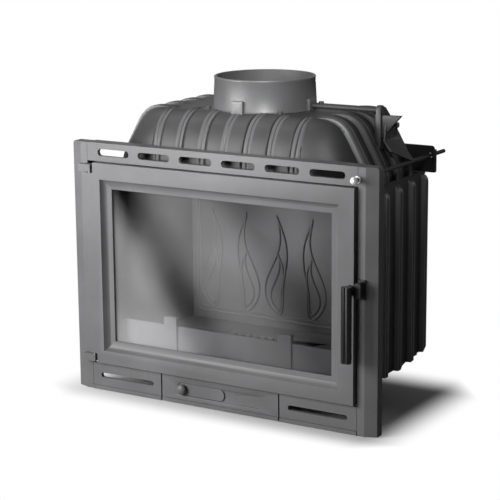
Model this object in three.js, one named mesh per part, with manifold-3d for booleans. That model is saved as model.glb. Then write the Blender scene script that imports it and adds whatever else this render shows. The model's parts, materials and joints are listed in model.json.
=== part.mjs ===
// Cast-iron fireplace insert: surround, glazed door, ribbed firebox, smoke hood, flue collar,
// ash drawer, primary-air slide and flue damper with its pull rod.
// Millimetres. X to the right, Y backwards from the surround's outer front edge, Z up from the hearth.
// The finished group is moved so that its origin lies on the hearth under the middle of the flue.

import * as THREE from 'three';
import { mergeVertices } from 'three/addons/utils/BufferGeometryUtils.js';
import Module from 'manifold-3d';

const wasm = await Module();
wasm.setup();

// ---------------------------------------------------------------- driving dimensions
const SEAT_GAP = 0.3;            // air between castings that rest on each other

const SURROUND_WIDTH = 690;
const SURROUND_HEIGHT = 513;
const SURROUND_DEPTH = 19;       // return edge that meets the chimney breast
const SURROUND_WALL = 8;
const COLUMN_WIDTH = 40;
const COLUMN_BEVEL = 24;         // sloping outer part of each column's face
const FACE_RISE = 8;             // inner face stands proud of the outer edge
const COLUMN_CORNER = 7;         // rounded upper outer corners
const COLUMN_CAP = 6;

const TOP_BAR_HEIGHT = 37;
const TOP_FLANGE_LAP = 1;        // top bar's flange reaches past the hood's foot
const TOP_SLOT_COUNT = 6;
const TOP_SLOT_END = 25.7;       // bar's end to the nearest slot
const TOP_SLOT_BRIDGE = 21.6;    // iron between two slots
const TOP_SLOT_HEIGHT = 14;
const TOP_SLOT_RISE = 18;        // slot centre above the bar's lower edge

const LOWER_ROW_HEIGHT = 56;
const DRAWER_FRONT_WIDTH = 269;
const DRAWER_SIDE_GAP = 3;
const DRAWER_FLOOR_GAP = 1;
const SILL_HEIGHT = 8;
const SILL_GROOVE = 1.6;
const LOW_SLOT_HEIGHT = 10;
const LOW_SLOT_DROP = 24.5;      // slot centre below the panel's upper edge
const LOW_SLOT_INSET = 18.5;     // from the panel's inner edge to the slot's end
const LOW_SLOT_END = 19.7;       // from the panel's outer edge to the slot's end

const DOOR_TOP_GAP = 2;
const DOOR_BOTTOM_GAP = 4;
const DOOR_SIDE_GAP = 2.5;
const DOOR_FRONT = 18;           // door face in front of the surround's outer edge
const DOOR_BACK = 4;             // door's rear face behind that edge
const DOOR_STILE = 53;
const DOOR_BOTTOM_RAIL = 47;
const DOOR_TOP_RAIL = 53;
const MOULDING_WIDTH = 20;
const MOULDING_DEPTH = 13;
const GLASS_THICKNESS = 4;
const GLASS_LAP = 12;            // glass hidden behind the door frame on each side
const CLIP_LENGTH = 34;
const CLIP_WIDTH = 16;
const CLIP_THICKNESS = 2;
const CLIP_FROM_CORNER = 70;
const SEAL_WIDTH = 8;
const SEAL_FROM_EDGE = 17.5;     // door edge to the seal's outer side
const SEAL_THICKNESS = 7.7;

const HINGE_INSET = 5.5;         // hinge axis from the door's edge
const HINGE_SINK = 5;            // and behind the door's face
const HINGE_PIN_RADIUS = 3;
const HINGE_PIN_PLAY = 0.4;
const HINGE_PIN_REACH = 20;      // pin length inside the door's stile
const HINGE_BLOCK_HEIGHT = 15;
const HINGE_BLOCK_LENGTH = 29;
const HINGE_BLOCK_FRONT = 2;     // block stands this far in front of the door's face
const HINGE_BLOCK_REACH = 6;     // block past the hinge axis
const HINGE_NOTCH_REACH = 10.5;  // door notch past the hinge axis
const HINGE_NOTCH_PLAY = 2.5;
const UPPER_HINGE_DROP = 19;     // upper block's foot below the door's top
const LOWER_HINGE_RISE = 2;      // lower block's foot above the door's foot

const HANDLE_INSET = 6.5;        // spindle from the door's edge
const HANDLE_RISE = 223;         // spindle above the door's foot
const GRIP_LENGTH = 145;
const GRIP_WIDTH = 19;
const GRIP_DEPTH = 14;
const GRIP_STANDOFF = 16;        // finger room between the door's face and the grip
const GRIP_OFFSET = 3.5;         // grip's middle beyond the spindle's axis
const GRIP_TOP_RISE = 11;
const SPINDLE_RADIUS = 5;
const SPINDLE_PLAY = 0.5;
const HUB_RADIUS = 10;
const TONGUE_REACH = 11.5;
const TONGUE_HEIGHT = 10;
const TONGUE_THICKNESS = 6;
const TONGUE_FROM_DOOR = 6;
const SPINDLE_NUT_RADIUS = 6.8;
const SPINDLE_NUT_HEIGHT = 5.5;
const KEEPER_GAP = 1.3;
const KEEPER_WIDTH = 14;
const KEEPER_HEIGHT = 37;
const KEEPER_DEPTH = 20;
const KEEPER_BASE = 4;

const FRONT_PLATE_THICKNESS = 7.7;
const FRONT_PLATE_DROP = 5;      // front plate's foot below the side plates
const FRONT_OPENING_MARGIN = 10; // plate inside the body's walls
const FRONT_OPENING_DROP = 44;   // opening's top below the door's top

const BODY_INSET = 67;           // surround's edge to the body's wall, seen from the front
const BODY_WALL = 6;
const BODY_DROP = 30;            // body's top below the top bar
const BODY_RISE = 9;             // body's foot above the door's foot
const BODY_BACK = 330;
const RIB_COUNT = 5;
const RIB_THICKNESS = 16;
const SIDE_RIB_HEIGHT = 10;
const SIDE_RIB_DROP = 13;        // front rib's upper end below the body's top
const SIDE_RIB_SLOPE = 0.05;     // ribs reach higher towards the back
const SIDE_RIB_ROUND = 12;
const FOOT_TAB_Y = 222;
const FOOT_TAB_DROP = 7;
const BACK_PLATE_THICKNESS = 8;
const BACK_RIB_COUNT = 9;
const BACK_RIB_HEIGHT = 8;
const BACK_RIB_MARGIN = 43.7;    // plate's edge to the outer rib's middle
const BACK_RIB_RISE = 51;        // ribs' foot above the body's foot
const BACK_RIB_DROP = 16;        // ribs' top below the body's top
const BACK_EDGE_RISE = 22;       // side plates' rear foot above the body's foot

const BASE_THICKNESS = 8;
const BASE_RISE = 1;             // base above the side plates' foot
const HEARTH_THICKNESS = 14;
const GRATE_HALF_WIDTH = 116;
const GRATE_FRONT = 74;
const GRATE_LENGTH = 160;
const GRATE_THICKNESS = 8;
const GRATE_LEDGE = 8;
const GRATE_BARS = 11;
const GRATE_SLOT_WIDTH = 10;
const GRATE_MARGIN = 16;

const LINING_THICKNESS = 16.4;
const LINING_DROP = 42;          // lining's top below the body's top
const FIREBACK_SETBACK = 27;     // fireback's face in front of the back plate
const FIREBACK_THICKNESS = 10;
const FIREBACK_PLAY = 1;         // to the baffle above and the hearth in front
const FIREBACK_EDGE = 10;        // plate outside its border
const FIREBACK_BORDER = 12;
const FIREBACK_BORDER_RISE = 3;
const SPACER_INSET = 55;         // spacer's middle from the fireback's edge
const SPACER_WIDTH = 20;
const FLAME_COUNT = 6;
const FLAME_SIDE_MARGIN = 55;    // outer flame's middle from the fireback's edge
const FLAME_TOP_MARGIN = 56;
const FLAME_FOOT_RISE = 29.7;    // above the hearth
const FLAME_WIDTH = 46;
const FLAME_RISE = 3;
const BAFFLE_FRONT = 96;
const BAFFLE_THICKNESS = 8;

const RETAINER_SIDE_GAP = 3.3;
const RETAINER_HEIGHT = 56;
const RETAINER_THICKNESS = 6;
const RETAINER_SETBACK = 3.7;    // rail behind the firebox front
const RETAINER_CORNER = 10;
const RETAINER_POST_INSET = 120; // post's middle from the rail's end
const RETAINER_POST_WIDTH = 30;
const RETAINER_POST_HEIGHT = 74;
const RETAINER_POST_DEPTH = 10;

const ASH_BOX_LAP = 0.5;         // box wider than the drawer front, on each side
const ASH_BOX_SETBACK = 40;      // box in front of the body's back
const ASH_BOX_WALL = 4;
const ASH_PAN_SIDE_GAP = 5;
const ASH_PAN_BACK_GAP = 23.7;
const ASH_PAN_DROP = 4;          // pan's rim below the drawer front's top
const ASH_PAN_WALL = 2.5;
const ASH_PAN_PLAY = 0.4;

const AIR_TRACK_INSET = 35.5;    // drawer front's end to the track's end
const AIR_TRACK_HEIGHT = 26;
const AIR_TRACK_DEPTH = 4;
const AIR_TRACK_DROP = 25;       // track's middle below the drawer front's top
const AIR_SLIDE_TRAVEL = 87;
const AIR_SLIDE_PLAY = 1;
const AIR_SLIDE_THICKNESS = 2.6;
const AIR_KNOB_RADIUS = 11;
const AIR_KNOB_DEPTH = 12;
const AIR_KNOB_INSET = 12;       // knob's middle from the slide's left end
const AIR_PORT_COUNT = 3;
const AIR_PORT_WIDTH = 18;
const AIR_PORT_PITCH = 25;

const HOOD_SETBACK = 2.7;        // hood's foot behind the firebox front
const HOOD_FLANGE_SETBACK = 2;
const HOOD_HEIGHT = 129;         // above the body's top
const HOOD_WALL = 7;
const HOOD_SHOULDER_Y = 58;      // front and back shoulders, from front to back
const HOOD_SHOULDER_Z = 105;     // and upwards
const HOOD_INSET = 8;            // hood's foot inside the body's walls
const HOOD_BEND_RISE = 26.5;     // upright foot turns into the flank, above the body's top
const HOOD_FLANK_RISE = 51;      // straight flank starts
const HOOD_OVER_RISE = 100;      // and rounds over
const HOOD_FLANK_LEAN = 0.57;    // inwards for each millimetre upwards
const HOOD_PLATEAU_INSET = 110;  // flat top inside the body's walls
const HOOD_CORNER_INSET = 12;    // front corners start inside the flat top's end
const HOOD_CORNER_Y = 63;        // and end this far behind the hood's front
const HOOD_FLANGE_LAP = 4;       // flange past the body's walls
const HOOD_FLANGE_THICKNESS = 8;
const HOOD_RIB_COUNT = 4;
const HOOD_RIB_RISE_X = 8.5;
const HOOD_RIB_RISE_Z = 3;
const GROOVE_COUNT = 7;
const GROOVE_WIDTH = 5;
const GROOVE_DEPTH = 4.5;

const FLUE_SETBACK = 177;        // flue axis behind the surround's outer front edge
const FLUE_RADIUS = 100;         // outside, at the rim
const FLUE_BASE_RADIUS = 104;
const FLUE_WALL = 5;
const FLUE_HEIGHT = 69;          // above the hood
const FLUE_BOSS_WIDTH = 26;
const FLUE_BOSS_HEIGHT = 28;
const FLUE_BOSS_RISE = 4;
const FLUE_EAR_REACH = 20;
const FLUE_EAR_WIDTH = 22;
const FLUE_EAR_THICKNESS = 6;
const COLLAR_BOLT_RADIUS = 5.5;
const COLLAR_BOLT_HEIGHT = 5;

const SHAFT_RADIUS = 5;
const SHAFT_PLAY = 0.5;
const SHAFT_RISE = 15;           // above the hood
const SHAFT_LUG_INSET = 28;      // lug inside the body's wall
const SHAFT_LUG_LENGTH = 11;
const SHAFT_LUG_WIDTH = 17;
const SHAFT_LUG_TOP_WIDTH = 8;
const SHAFT_LUG_TOP = 9.5;       // lug's top above the shaft's axis
const SHAFT_LUG_SHOULDER = 3;
const SHAFT_LUG_FOOT = 60;       // lug's foot below the hood's top, inside the wall
const SHAFT_WEB_REACH = 45;
const SHAFT_WEB_DROP = 20;
const SHAFT_WEB_TOP = 9;         // web's top below the shaft's axis
const SHAFT_WEB_THICKNESS = 8;
const FLAP_MARGIN = 7;           // flap inside the rim's bore
const FLAP_THICKNESS = 4;
const CRANK_REACH = 48;
const CRANK_ANGLE = 48.6;        // degrees behind straight down, with the rod pushed in
const CRANK_WIDTH = 16;
const CRANK_THICKNESS = 3;
const CRANK_PIN_RADIUS = 3;
const CRANK_PIN_HEAD = 5.5;
const CRANK_POINT = 19;          // pointed end above the shaft
const DRIVER_GAP = 2.7;          // crank to driver
const DRIVER_THICKNESS = 3;
const DRIVER_DROP = 19;          // driver's top below the shaft's axis
const DRIVER_BEND_DROP = 58;
const DRIVER_LEAD = 38;          // front edge ahead of the crank's pin
const DRIVER_TAIL = 9;           // back edge behind the pin
const DRIVER_FRONT_LEAN = 13;    // front edge leans forwards towards its foot
const DRIVER_FRONT_FOOT = 25;    // front foot above the rod's axis
const DRIVER_SLOT_PLAY = 2.5;
const ROD_FROM_EDGE = 40;        // rod's axis from the surround's edge
const ROD_RISE = 13;             // above the top bar's lower edge
const ROD_RADIUS = 4;
const ROD_PLAY = 0.5;
const ROD_TAIL = 62;             // rod's rear end behind the guide
const ROD_FRONT_END = 14;
const KNOB_RADIUS = 7.5;
const KNOB_NECK = 2.5;
const BUSH_RADIUS = 6.8;
const BUSH_LENGTH = 3;
const GUIDE_SETBACK = 30;        // guide in front of the body's back
const GUIDE_THICKNESS = 3;
const GUIDE_EDGE = 9;            // guide past the rod's axis
const GUIDE_RISE = 19;           // guide above the rod's axis
const GUIDE_RETURN = 10;
const GUIDE_CORNER = 8;

// ---------------------------------------------------------------- values worked out from them
const halfWidth = SURROUND_WIDTH / 2;
const columnInner = halfWidth - COLUMN_WIDTH;
const barHalfWidth = columnInner - SEAT_GAP;
const barBottom = SURROUND_HEIGHT - TOP_BAR_HEIGHT;
const topSlotRoom = 2 * (barHalfWidth - TOP_SLOT_END) - (TOP_SLOT_COUNT - 1) * TOP_SLOT_BRIDGE;
const topSlotLength = topSlotRoom / TOP_SLOT_COUNT;
const topSlotPitch = topSlotLength + TOP_SLOT_BRIDGE;
const drawerHalfWidth = DRAWER_FRONT_WIDTH / 2;
const panelInner = drawerHalfWidth + DRAWER_SIDE_GAP;
const lowSlotLength = barHalfWidth - LOW_SLOT_END - panelInner - LOW_SLOT_INSET;
const lowSlotZ = LOWER_ROW_HEIGHT - LOW_SLOT_DROP;

const doorTop = barBottom - DOOR_TOP_GAP;
const doorBottom = LOWER_ROW_HEIGHT + DOOR_BOTTOM_GAP;
const doorHalfWidth = columnInner - DOOR_SIDE_GAP;
const glassHalfOpening = doorHalfWidth - DOOR_STILE;
const glassBottom = doorBottom + DOOR_BOTTOM_RAIL;
const glassTop = doorTop - DOOR_TOP_RAIL;
const hingeX = HINGE_INSET - doorHalfWidth;
const hingeY = HINGE_SINK - DOOR_FRONT;
const upperHingeZ = doorTop - UPPER_HINGE_DROP;
const lowerHingeZ = doorBottom + LOWER_HINGE_RISE;
const handleX = doorHalfWidth - HANDLE_INSET;
const handleZ = doorBottom + HANDLE_RISE;
const gripFront = -DOOR_FRONT - GRIP_STANDOFF - GRIP_DEPTH;

const frontPlateY = DOOR_BACK + SEAL_THICKNESS + 2 * SEAT_GAP;
const frontPlateBack = frontPlateY + FRONT_PLATE_THICKNESS;
const bodyFront = frontPlateBack + SEAT_GAP;
const bodyHalfWidth = halfWidth - BODY_INSET;
const bodyInside = bodyHalfWidth - BODY_WALL;
const bodyTop = barBottom - BODY_DROP;
const bodyBottom = doorBottom + BODY_RISE;
const backPlateFront = BODY_BACK - BACK_PLATE_THICKNESS;
const hoodFront = bodyFront + HOOD_SETBACK;
const ribFirst = hoodFront + HOOD_CORNER_Y;
const ribPitch = (BODY_BACK - ribFirst - RIB_THICKNESS) / (RIB_COUNT - 1);
const topFlangeBack = hoodFront + TOP_FLANGE_LAP;

const baseTop = bodyBottom + BASE_RISE + BASE_THICKNESS;
const hearthBottom = baseTop + SEAT_GAP;
const hearthTop = hearthBottom + HEARTH_THICKNESS;
const liningOuter = bodyInside - SEAT_GAP;
const liningFace = liningOuter - LINING_THICKNESS;
const liningBack = backPlateFront - SEAT_GAP;
const liningTop = bodyTop - LINING_DROP;
const firebackEdge = liningFace - SEAT_GAP;
const firebackFace = backPlateFront - FIREBACK_SETBACK;
const firebackTop = liningTop - FIREBACK_PLAY;
const hearthBack = firebackFace - FIREBACK_PLAY;
const flameFoot = hearthTop + FLAME_FOOT_RISE;
const flameHeight = firebackTop - FLAME_TOP_MARGIN - flameFoot;
const flamePitch = (2 * (firebackEdge - FLAME_SIDE_MARGIN)) / (FLAME_COUNT - 1);
const retainerHalfWidth = liningFace - RETAINER_SIDE_GAP;
const retainerPostX = retainerHalfWidth - RETAINER_POST_INSET;
const retainerY = bodyFront + RETAINER_SETBACK;

const ashBoxHalfWidth = drawerHalfWidth + ASH_BOX_LAP;
const ashBoxBack = BODY_BACK - ASH_BOX_SETBACK;
const ashPanHalfWidth = ashBoxHalfWidth - ASH_BOX_WALL - ASH_PAN_SIDE_GAP;
const ashPanTop = LOWER_ROW_HEIGHT - ASH_PAN_DROP;
const panFront = SURROUND_WALL - FACE_RISE + SEAT_GAP;
const ashPanLength = ashBoxBack - ASH_BOX_WALL - ASH_PAN_BACK_GAP - panFront;
const airTrackHalfLength = drawerHalfWidth - AIR_TRACK_INSET;
const airTrackZ = LOWER_ROW_HEIGHT - AIR_TRACK_DROP;
const airSlideLength = 2 * (airTrackHalfLength - AIR_SLIDE_PLAY) - AIR_SLIDE_TRAVEL;

const hoodBottom = bodyTop + SEAT_GAP;
const flangeTop = hoodBottom + HOOD_FLANGE_THICKNESS;
const hoodTop = bodyTop + HOOD_HEIGHT;
const hoodHalfWidth = bodyHalfWidth - HOOD_INSET;
const flankBend = bodyTop + HOOD_BEND_RISE;
const flankFoot = bodyTop + HOOD_FLANK_RISE;
const flankHead = bodyTop + HOOD_OVER_RISE;
const plateauHalfWidth = bodyHalfWidth - HOOD_PLATEAU_INSET;
const hoodCornerX = plateauHalfWidth - HOOD_CORNER_INSET;
const groovePitch = (2 * hoodCornerX) / (GROOVE_COUNT - 1);
const flueRimZ = hoodTop + FLUE_HEIGHT;

const shaftZ = hoodTop + SHAFT_RISE;
const shaftLugX = bodyHalfWidth - SHAFT_LUG_INSET;
const shaftEnd = shaftLugX + SHAFT_LUG_LENGTH + 1;
const flapRadius = FLUE_RADIUS - FLUE_WALL - FLAP_MARGIN;
const crankX = shaftEnd + SEAT_GAP;
const crankTurn = THREE.MathUtils.degToRad(CRANK_ANGLE);
const pinY = FLUE_SETBACK + CRANK_REACH * Math.sin(crankTurn);
const pinZ = shaftZ - CRANK_REACH * Math.cos(crankTurn);
const driverX = crankX + CRANK_THICKNESS + DRIVER_GAP;
const driverTop = shaftZ - DRIVER_DROP;
const driverBend = shaftZ - DRIVER_BEND_DROP;
const rodX = halfWidth - ROD_FROM_EDGE;
const rodZ = barBottom + ROD_RISE;
const guideY = BODY_BACK - GUIDE_SETBACK;
const guideRight = rodX + GUIDE_EDGE;
const guideTop = rodZ + GUIDE_RISE;
const rodRearEnd = guideY + ROD_TAIL;

// ---------------------------------------------------------------- finishes
const finish = (color, roughness, metalness) => new THREE.MeshStandardMaterial({ color, roughness, metalness });
const castIron = () => finish(0x5b5d60, 0.62, 0.35);
const darkIron = () => finish(0x3c3e41, 0.7, 0.3);
const chrome = () => finish(0xe6e8ea, 0.15, 0.95);
const steel = () => finish(0x9a9c9e, 0.4, 0.8);
const blackGrip = () => finish(0x151515, 0.45, 0.1);
const rope = () => finish(0x8d8a84, 0.95, 0);
const ceramicGlass = () => finish(0x6f5f4c, 0.05, 0);

// ---------------------------------------------------------------- small shape helpers
const SEGMENTS = 24;

function solid(geometry) {
  const bare = geometry.clone();
  bare.deleteAttribute('normal');
  bare.deleteAttribute('uv');
  const merged = mergeVertices(bare, 1e-4);
  return new wasm.Manifold(new wasm.Mesh({
    numProp: 3,
    vertProperties: new Float32Array(merged.attributes.position.array),
    triVerts: new Uint32Array(merged.index.array),
  }));
}

function surface(manifold) {
  const mesh = manifold.getMesh();
  const geometry = new THREE.BufferGeometry();
  geometry.setAttribute('position', new THREE.BufferAttribute(Float32Array.from(mesh.vertProperties), 3));
  geometry.setIndex(new THREE.BufferAttribute(Uint32Array.from(mesh.triVerts), 1));
  geometry.computeVertexNormals();
  return geometry;
}

const join = (...solids) => solids.reduce((whole, piece) => whole.add(piece));
const cut = (body, ...tools) => tools.reduce((rest, tool) => rest.subtract(tool), body);

function box([x0, x1], [y0, y1], [z0, z1]) {
  const geometry = new THREE.BoxGeometry(x1 - x0, y1 - y0, z1 - z0);
  return solid(geometry.translate((x0 + x1) / 2, (y0 + y1) / 2, (z0 + z1) / 2));
}

function outline(points, holes = []) {
  const shape = new THREE.Shape(points.map(([a, b]) => new THREE.Vector2(a, b)));
  shape.holes.push(...holes);
  return shape;
}

// An outline in X and Z, carried from y0 to y1.
function alongY(shape, [y0, y1], curveSegments = 6) {
  const geometry = new THREE.ExtrudeGeometry(shape, { depth: y1 - y0, bevelEnabled: false, curveSegments });
  return solid(geometry.rotateX(Math.PI / 2).translate(0, y1, 0));
}

// An outline in Y and Z, carried from x0 to x1.
function alongX(shape, [x0, x1], curveSegments = 6) {
  const geometry = new THREE.ExtrudeGeometry(shape, { depth: x1 - x0, bevelEnabled: false, curveSegments });
  const turn = new THREE.Matrix4().makeBasis(
    new THREE.Vector3(0, 1, 0), new THREE.Vector3(0, 0, 1), new THREE.Vector3(1, 0, 0));
  return solid(geometry.applyMatrix4(turn).translate(x0, 0, 0));
}

// An outline in X and Y, carried from z0 to z1.
function alongZ(shape, [z0, z1], curveSegments = 6) {
  const geometry = new THREE.ExtrudeGeometry(shape, { depth: z1 - z0, bevelEnabled: false, curveSegments });
  return solid(geometry.translate(0, 0, z0));
}

function roundBar(axis, radius, [start, end], [a, b], sides = SEGMENTS) {
  const geometry = new THREE.CylinderGeometry(radius, radius, end - start, sides);
  const middle = (start + end) / 2;
  if (axis === 'x') return solid(geometry.rotateZ(-Math.PI / 2).translate(middle, a, b));
  if (axis === 'z') return solid(geometry.rotateX(Math.PI / 2).translate(a, b, middle));
  return solid(geometry.translate(a, middle, b));
}

function roundedRectangle(PathClass, [x0, x1], [z0, z1], radius) {
  const path = new PathClass();
  path.moveTo(x0 + radius, z0);
  path.lineTo(x1 - radius, z0);
  path.absarc(x1 - radius, z0 + radius, radius, -Math.PI / 2, 0);
  path.lineTo(x1, z1 - radius);
  path.absarc(x1 - radius, z1 - radius, radius, 0, Math.PI / 2);
  path.lineTo(x0 + radius, z1);
  path.absarc(x0 + radius, z1 - radius, radius, Math.PI / 2, Math.PI);
  path.lineTo(x0, z0 + radius);
  path.absarc(x0 + radius, z0 + radius, radius, Math.PI, 1.5 * Math.PI);
  return path;
}

function slot(middleX, middleZ, length, height) {
  const radius = height / 2 - 0.01;
  return roundedRectangle(THREE.Path, [middleX - length / 2, middleX + length / 2],
    [middleZ - height / 2, middleZ + height / 2], radius);
}

const rectangle = ([x0, x1], [z0, z1]) => [[x0, z0], [x1, z0], [x1, z1], [x0, z1]];

const insert = new THREE.Group();

function add(group, name, body, material) {
  const mesh = new THREE.Mesh(surface(body), material);
  mesh.name = name;
  group.add(mesh);
}

// ---------------------------------------------------------------- surround
const frame = new THREE.Group();

const rodHole = roundBar('y', ROD_RADIUS + ROD_PLAY, [-FACE_RISE - 1, SURROUND_DEPTH], [rodX, rodZ]);

// One column: a bevelled face with a return edge, closed by a cap at the top.
function column(side) {
  const section = outline([
    [halfWidth, SURROUND_DEPTH], [halfWidth, 0], [halfWidth - COLUMN_BEVEL, -FACE_RISE], [columnInner, -FACE_RISE],
    [columnInner, SURROUND_WALL - FACE_RISE], [halfWidth - COLUMN_BEVEL, SURROUND_WALL - FACE_RISE],
    [halfWidth - SURROUND_WALL, SURROUND_WALL - 3], [halfWidth - SURROUND_WALL, SURROUND_DEPTH],
  ].map(([x, y]) => [x * side, y]));
  const cap = outline([
    [halfWidth - 1, SURROUND_DEPTH], [halfWidth - 1, 1], [halfWidth - COLUMN_BEVEL, 1 - FACE_RISE],
    [columnInner, 1 - FACE_RISE], [columnInner, SURROUND_DEPTH],
  ].map(([x, y]) => [x * side, y]));
  const silhouette = new THREE.Shape();
  const outer = halfWidth + 1;
  const inner = columnInner - 1;
  silhouette.moveTo(inner, -1);
  silhouette.lineTo(halfWidth, -1);
  silhouette.lineTo(halfWidth, SURROUND_HEIGHT - COLUMN_CORNER);
  silhouette.absarc(halfWidth - COLUMN_CORNER, SURROUND_HEIGHT - COLUMN_CORNER, COLUMN_CORNER, 0, Math.PI / 2);
  silhouette.lineTo(inner, SURROUND_HEIGHT);
  let trim = alongY(silhouette, [-outer, outer], 4);
  if (side < 0) trim = trim.mirror([1, 0, 0]);
  const whole = join(
    alongZ(section, [0, SURROUND_HEIGHT]),
    alongZ(cap, [SURROUND_HEIGHT - COLUMN_CAP, SURROUND_HEIGHT]),
  ).intersect(trim);
  return side > 0 ? cut(whole, rodHole) : whole;
}

function topBar() {
  const holes = [];
  for (let i = 0; i < TOP_SLOT_COUNT; i += 1) {
    const middle = (i - (TOP_SLOT_COUNT - 1) / 2) * topSlotPitch;
    holes.push(slot(middle, barBottom + TOP_SLOT_RISE, topSlotLength, TOP_SLOT_HEIGHT));
  }
  const face = outline(rectangle([-barHalfWidth, barHalfWidth], [barBottom, SURROUND_HEIGHT]), holes);
  const flange = box([-barHalfWidth, barHalfWidth], [-FACE_RISE + 1, topFlangeBack],
    [SURROUND_HEIGHT - COLUMN_CAP, SURROUND_HEIGHT]);
  return cut(join(alongY(face, [-FACE_RISE, SURROUND_WALL - FACE_RISE]), flange), rodHole);
}

// Face of a lower panel with its sill lip and the groove above the lip.
function lowerPanel([x0, x1], z0, holes) {
  const face = alongY(outline(rectangle([x0, x1], [z0, LOWER_ROW_HEIGHT]), holes),
    [-FACE_RISE, SURROUND_WALL - FACE_RISE], 5);
  const lip = box([x0, x1], [-FACE_RISE - 1, 0], [z0, SILL_HEIGHT]);
  const groove = box([x0 - 1, x1 + 1], [-FACE_RISE - 2, SILL_GROOVE - FACE_RISE],
    [SILL_HEIGHT, SILL_HEIGHT + SILL_GROOVE]);
  return cut(join(face, lip), groove);
}

function ventPanel(side) {
  const ends = [side * panelInner, side * barHalfWidth].sort((a, b) => a - b);
  const middle = side * (panelInner + LOW_SLOT_INSET + lowSlotLength / 2);
  return lowerPanel(ends, 0, [slot(middle, lowSlotZ, lowSlotLength, LOW_SLOT_HEIGHT)]);
}

add(frame, 'surround_left_column', column(-1), castIron());
add(frame, 'surround_right_column', column(1), castIron());
add(frame, 'surround_top_bar', topBar(), castIron());
add(frame, 'lower_left_vent_panel', ventPanel(-1), castIron());
add(frame, 'lower_right_vent_panel', ventPanel(1), castIron());

// Hinge blocks stand on the left column's face; each holds a pin that reaches into the door's stile.
const blockLeft = hingeX + HINGE_BLOCK_REACH - HINGE_BLOCK_LENGTH;
const upperPinSpan = [upperHingeZ - HINGE_PIN_REACH, upperHingeZ + HINGE_BLOCK_HEIGHT];
const lowerPinSpan = [lowerHingeZ, lowerHingeZ + HINGE_BLOCK_HEIGHT + HINGE_PIN_REACH];

function hingeBlock(z) {
  const body = box([blockLeft, hingeX + HINGE_BLOCK_REACH], [-DOOR_FRONT - HINGE_BLOCK_FRONT, -FACE_RISE - SEAT_GAP],
    [z, z + HINGE_BLOCK_HEIGHT]);
  return cut(body, roundBar('z', HINGE_PIN_RADIUS + SEAT_GAP, [z - 1, z + HINGE_BLOCK_HEIGHT + 1],
    [hingeX, hingeY], 16));
}

add(frame, 'upper_hinge_block', hingeBlock(upperHingeZ), castIron());
add(frame, 'lower_hinge_block', hingeBlock(lowerHingeZ), castIron());
add(frame, 'upper_hinge_pin', roundBar('z', HINGE_PIN_RADIUS, upperPinSpan, [hingeX, hingeY], 12), steel());
add(frame, 'lower_hinge_pin', roundBar('z', HINGE_PIN_RADIUS, lowerPinSpan, [hingeX, hingeY], 12), steel());

// The keeper beside the handle, and the bush that guides the damper rod through the surround.
function latchKeeper() {
  const left = handleX + TONGUE_REACH + KEEPER_GAP;
  const top = handleZ + 20;
  const plate = box([left, left + KEEPER_WIDTH], [-FACE_RISE - SEAT_GAP - KEEPER_BASE, -FACE_RISE - SEAT_GAP],
    [top - KEEPER_HEIGHT, top]);
  const nose = alongY(roundedRectangle(THREE.Shape, [left, left + KEEPER_WIDTH - 1],
    [handleZ - 12, top - 3], 5), [-FACE_RISE - KEEPER_DEPTH, -FACE_RISE - KEEPER_BASE], 3);
  return join(plate, nose);
}

add(frame, 'latch_keeper', latchKeeper(), blackGrip());
const bushFront = -FACE_RISE - SEAT_GAP - BUSH_LENGTH;
add(frame, 'damper_rod_bush', cut(
  roundBar('y', BUSH_RADIUS, [bushFront, -FACE_RISE - SEAT_GAP], [rodX, rodZ]),
  roundBar('y', ROD_RADIUS + ROD_PLAY, [bushFront - 1, 0], [rodX, rodZ]),
), chrome());
insert.add(frame);

// ---------------------------------------------------------------- firebox
const firebox = new THREE.Group();

add(firebox, 'firebox_front', alongY(outline(
  rectangle([-halfWidth + SURROUND_WALL + SEAT_GAP, halfWidth - SURROUND_WALL - SEAT_GAP],
    [bodyBottom - FRONT_PLATE_DROP, doorTop]),
  [roundedRectangle(THREE.Path, [FRONT_OPENING_MARGIN - bodyInside, bodyInside - FRONT_OPENING_MARGIN],
    [hearthTop - SEAT_GAP, doorTop - FRONT_OPENING_DROP], 6)],
), [frontPlateY, frontPlateBack], 3), darkIron());

// Lower edge of a side plate: straight, a small foot tab, then rising towards the back.
const lowerEdge = [
  [bodyFront, bodyBottom], [FOOT_TAB_Y, bodyBottom], [FOOT_TAB_Y + 5, bodyBottom - FOOT_TAB_DROP],
  [FOOT_TAB_Y + 11, bodyBottom - FOOT_TAB_DROP], [FOOT_TAB_Y + 18, bodyBottom],
  [FOOT_TAB_Y + 31, bodyBottom + 3], [BODY_BACK - 16, bodyBottom + 10], [BODY_BACK, bodyBottom + BACK_EDGE_RISE],
];

function sidePlate(side) {
  const sheet = outline([...lowerEdge, [BODY_BACK, bodyTop], [bodyFront, bodyTop]]);
  const wall = alongX(sheet, [bodyInside, bodyHalfWidth]);
  const ribEnvelope = alongX(outline([...lowerEdge, [BODY_BACK, bodyTop], [bodyFront, bodyTop]]),
    [bodyInside, bodyHalfWidth + SIDE_RIB_HEIGHT + 1]);
  const ribs = [];
  for (let i = 0; i < RIB_COUNT; i += 1) {
    const y0 = ribFirst + i * ribPitch;
    const top = bodyTop - SIDE_RIB_DROP + SIDE_RIB_SLOPE * (y0 - ribFirst);
    const profile = new THREE.Shape();
    const crest = bodyHalfWidth + SIDE_RIB_HEIGHT;
    profile.moveTo(bodyHalfWidth - 2, bodyBottom - FOOT_TAB_DROP - 1);
    profile.lineTo(crest, bodyBottom - FOOT_TAB_DROP - 1);
    profile.lineTo(crest, top - SIDE_RIB_ROUND);
    profile.quadraticCurveTo(crest, top, bodyHalfWidth - 2, top + 2);
    ribs.push(alongY(profile, [y0, y0 + RIB_THICKNESS], 5).intersect(ribEnvelope));
  }
  const plate = join(wall, ...ribs);
  return side > 0 ? plate : plate.mirror([1, 0, 0]);
}

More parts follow.
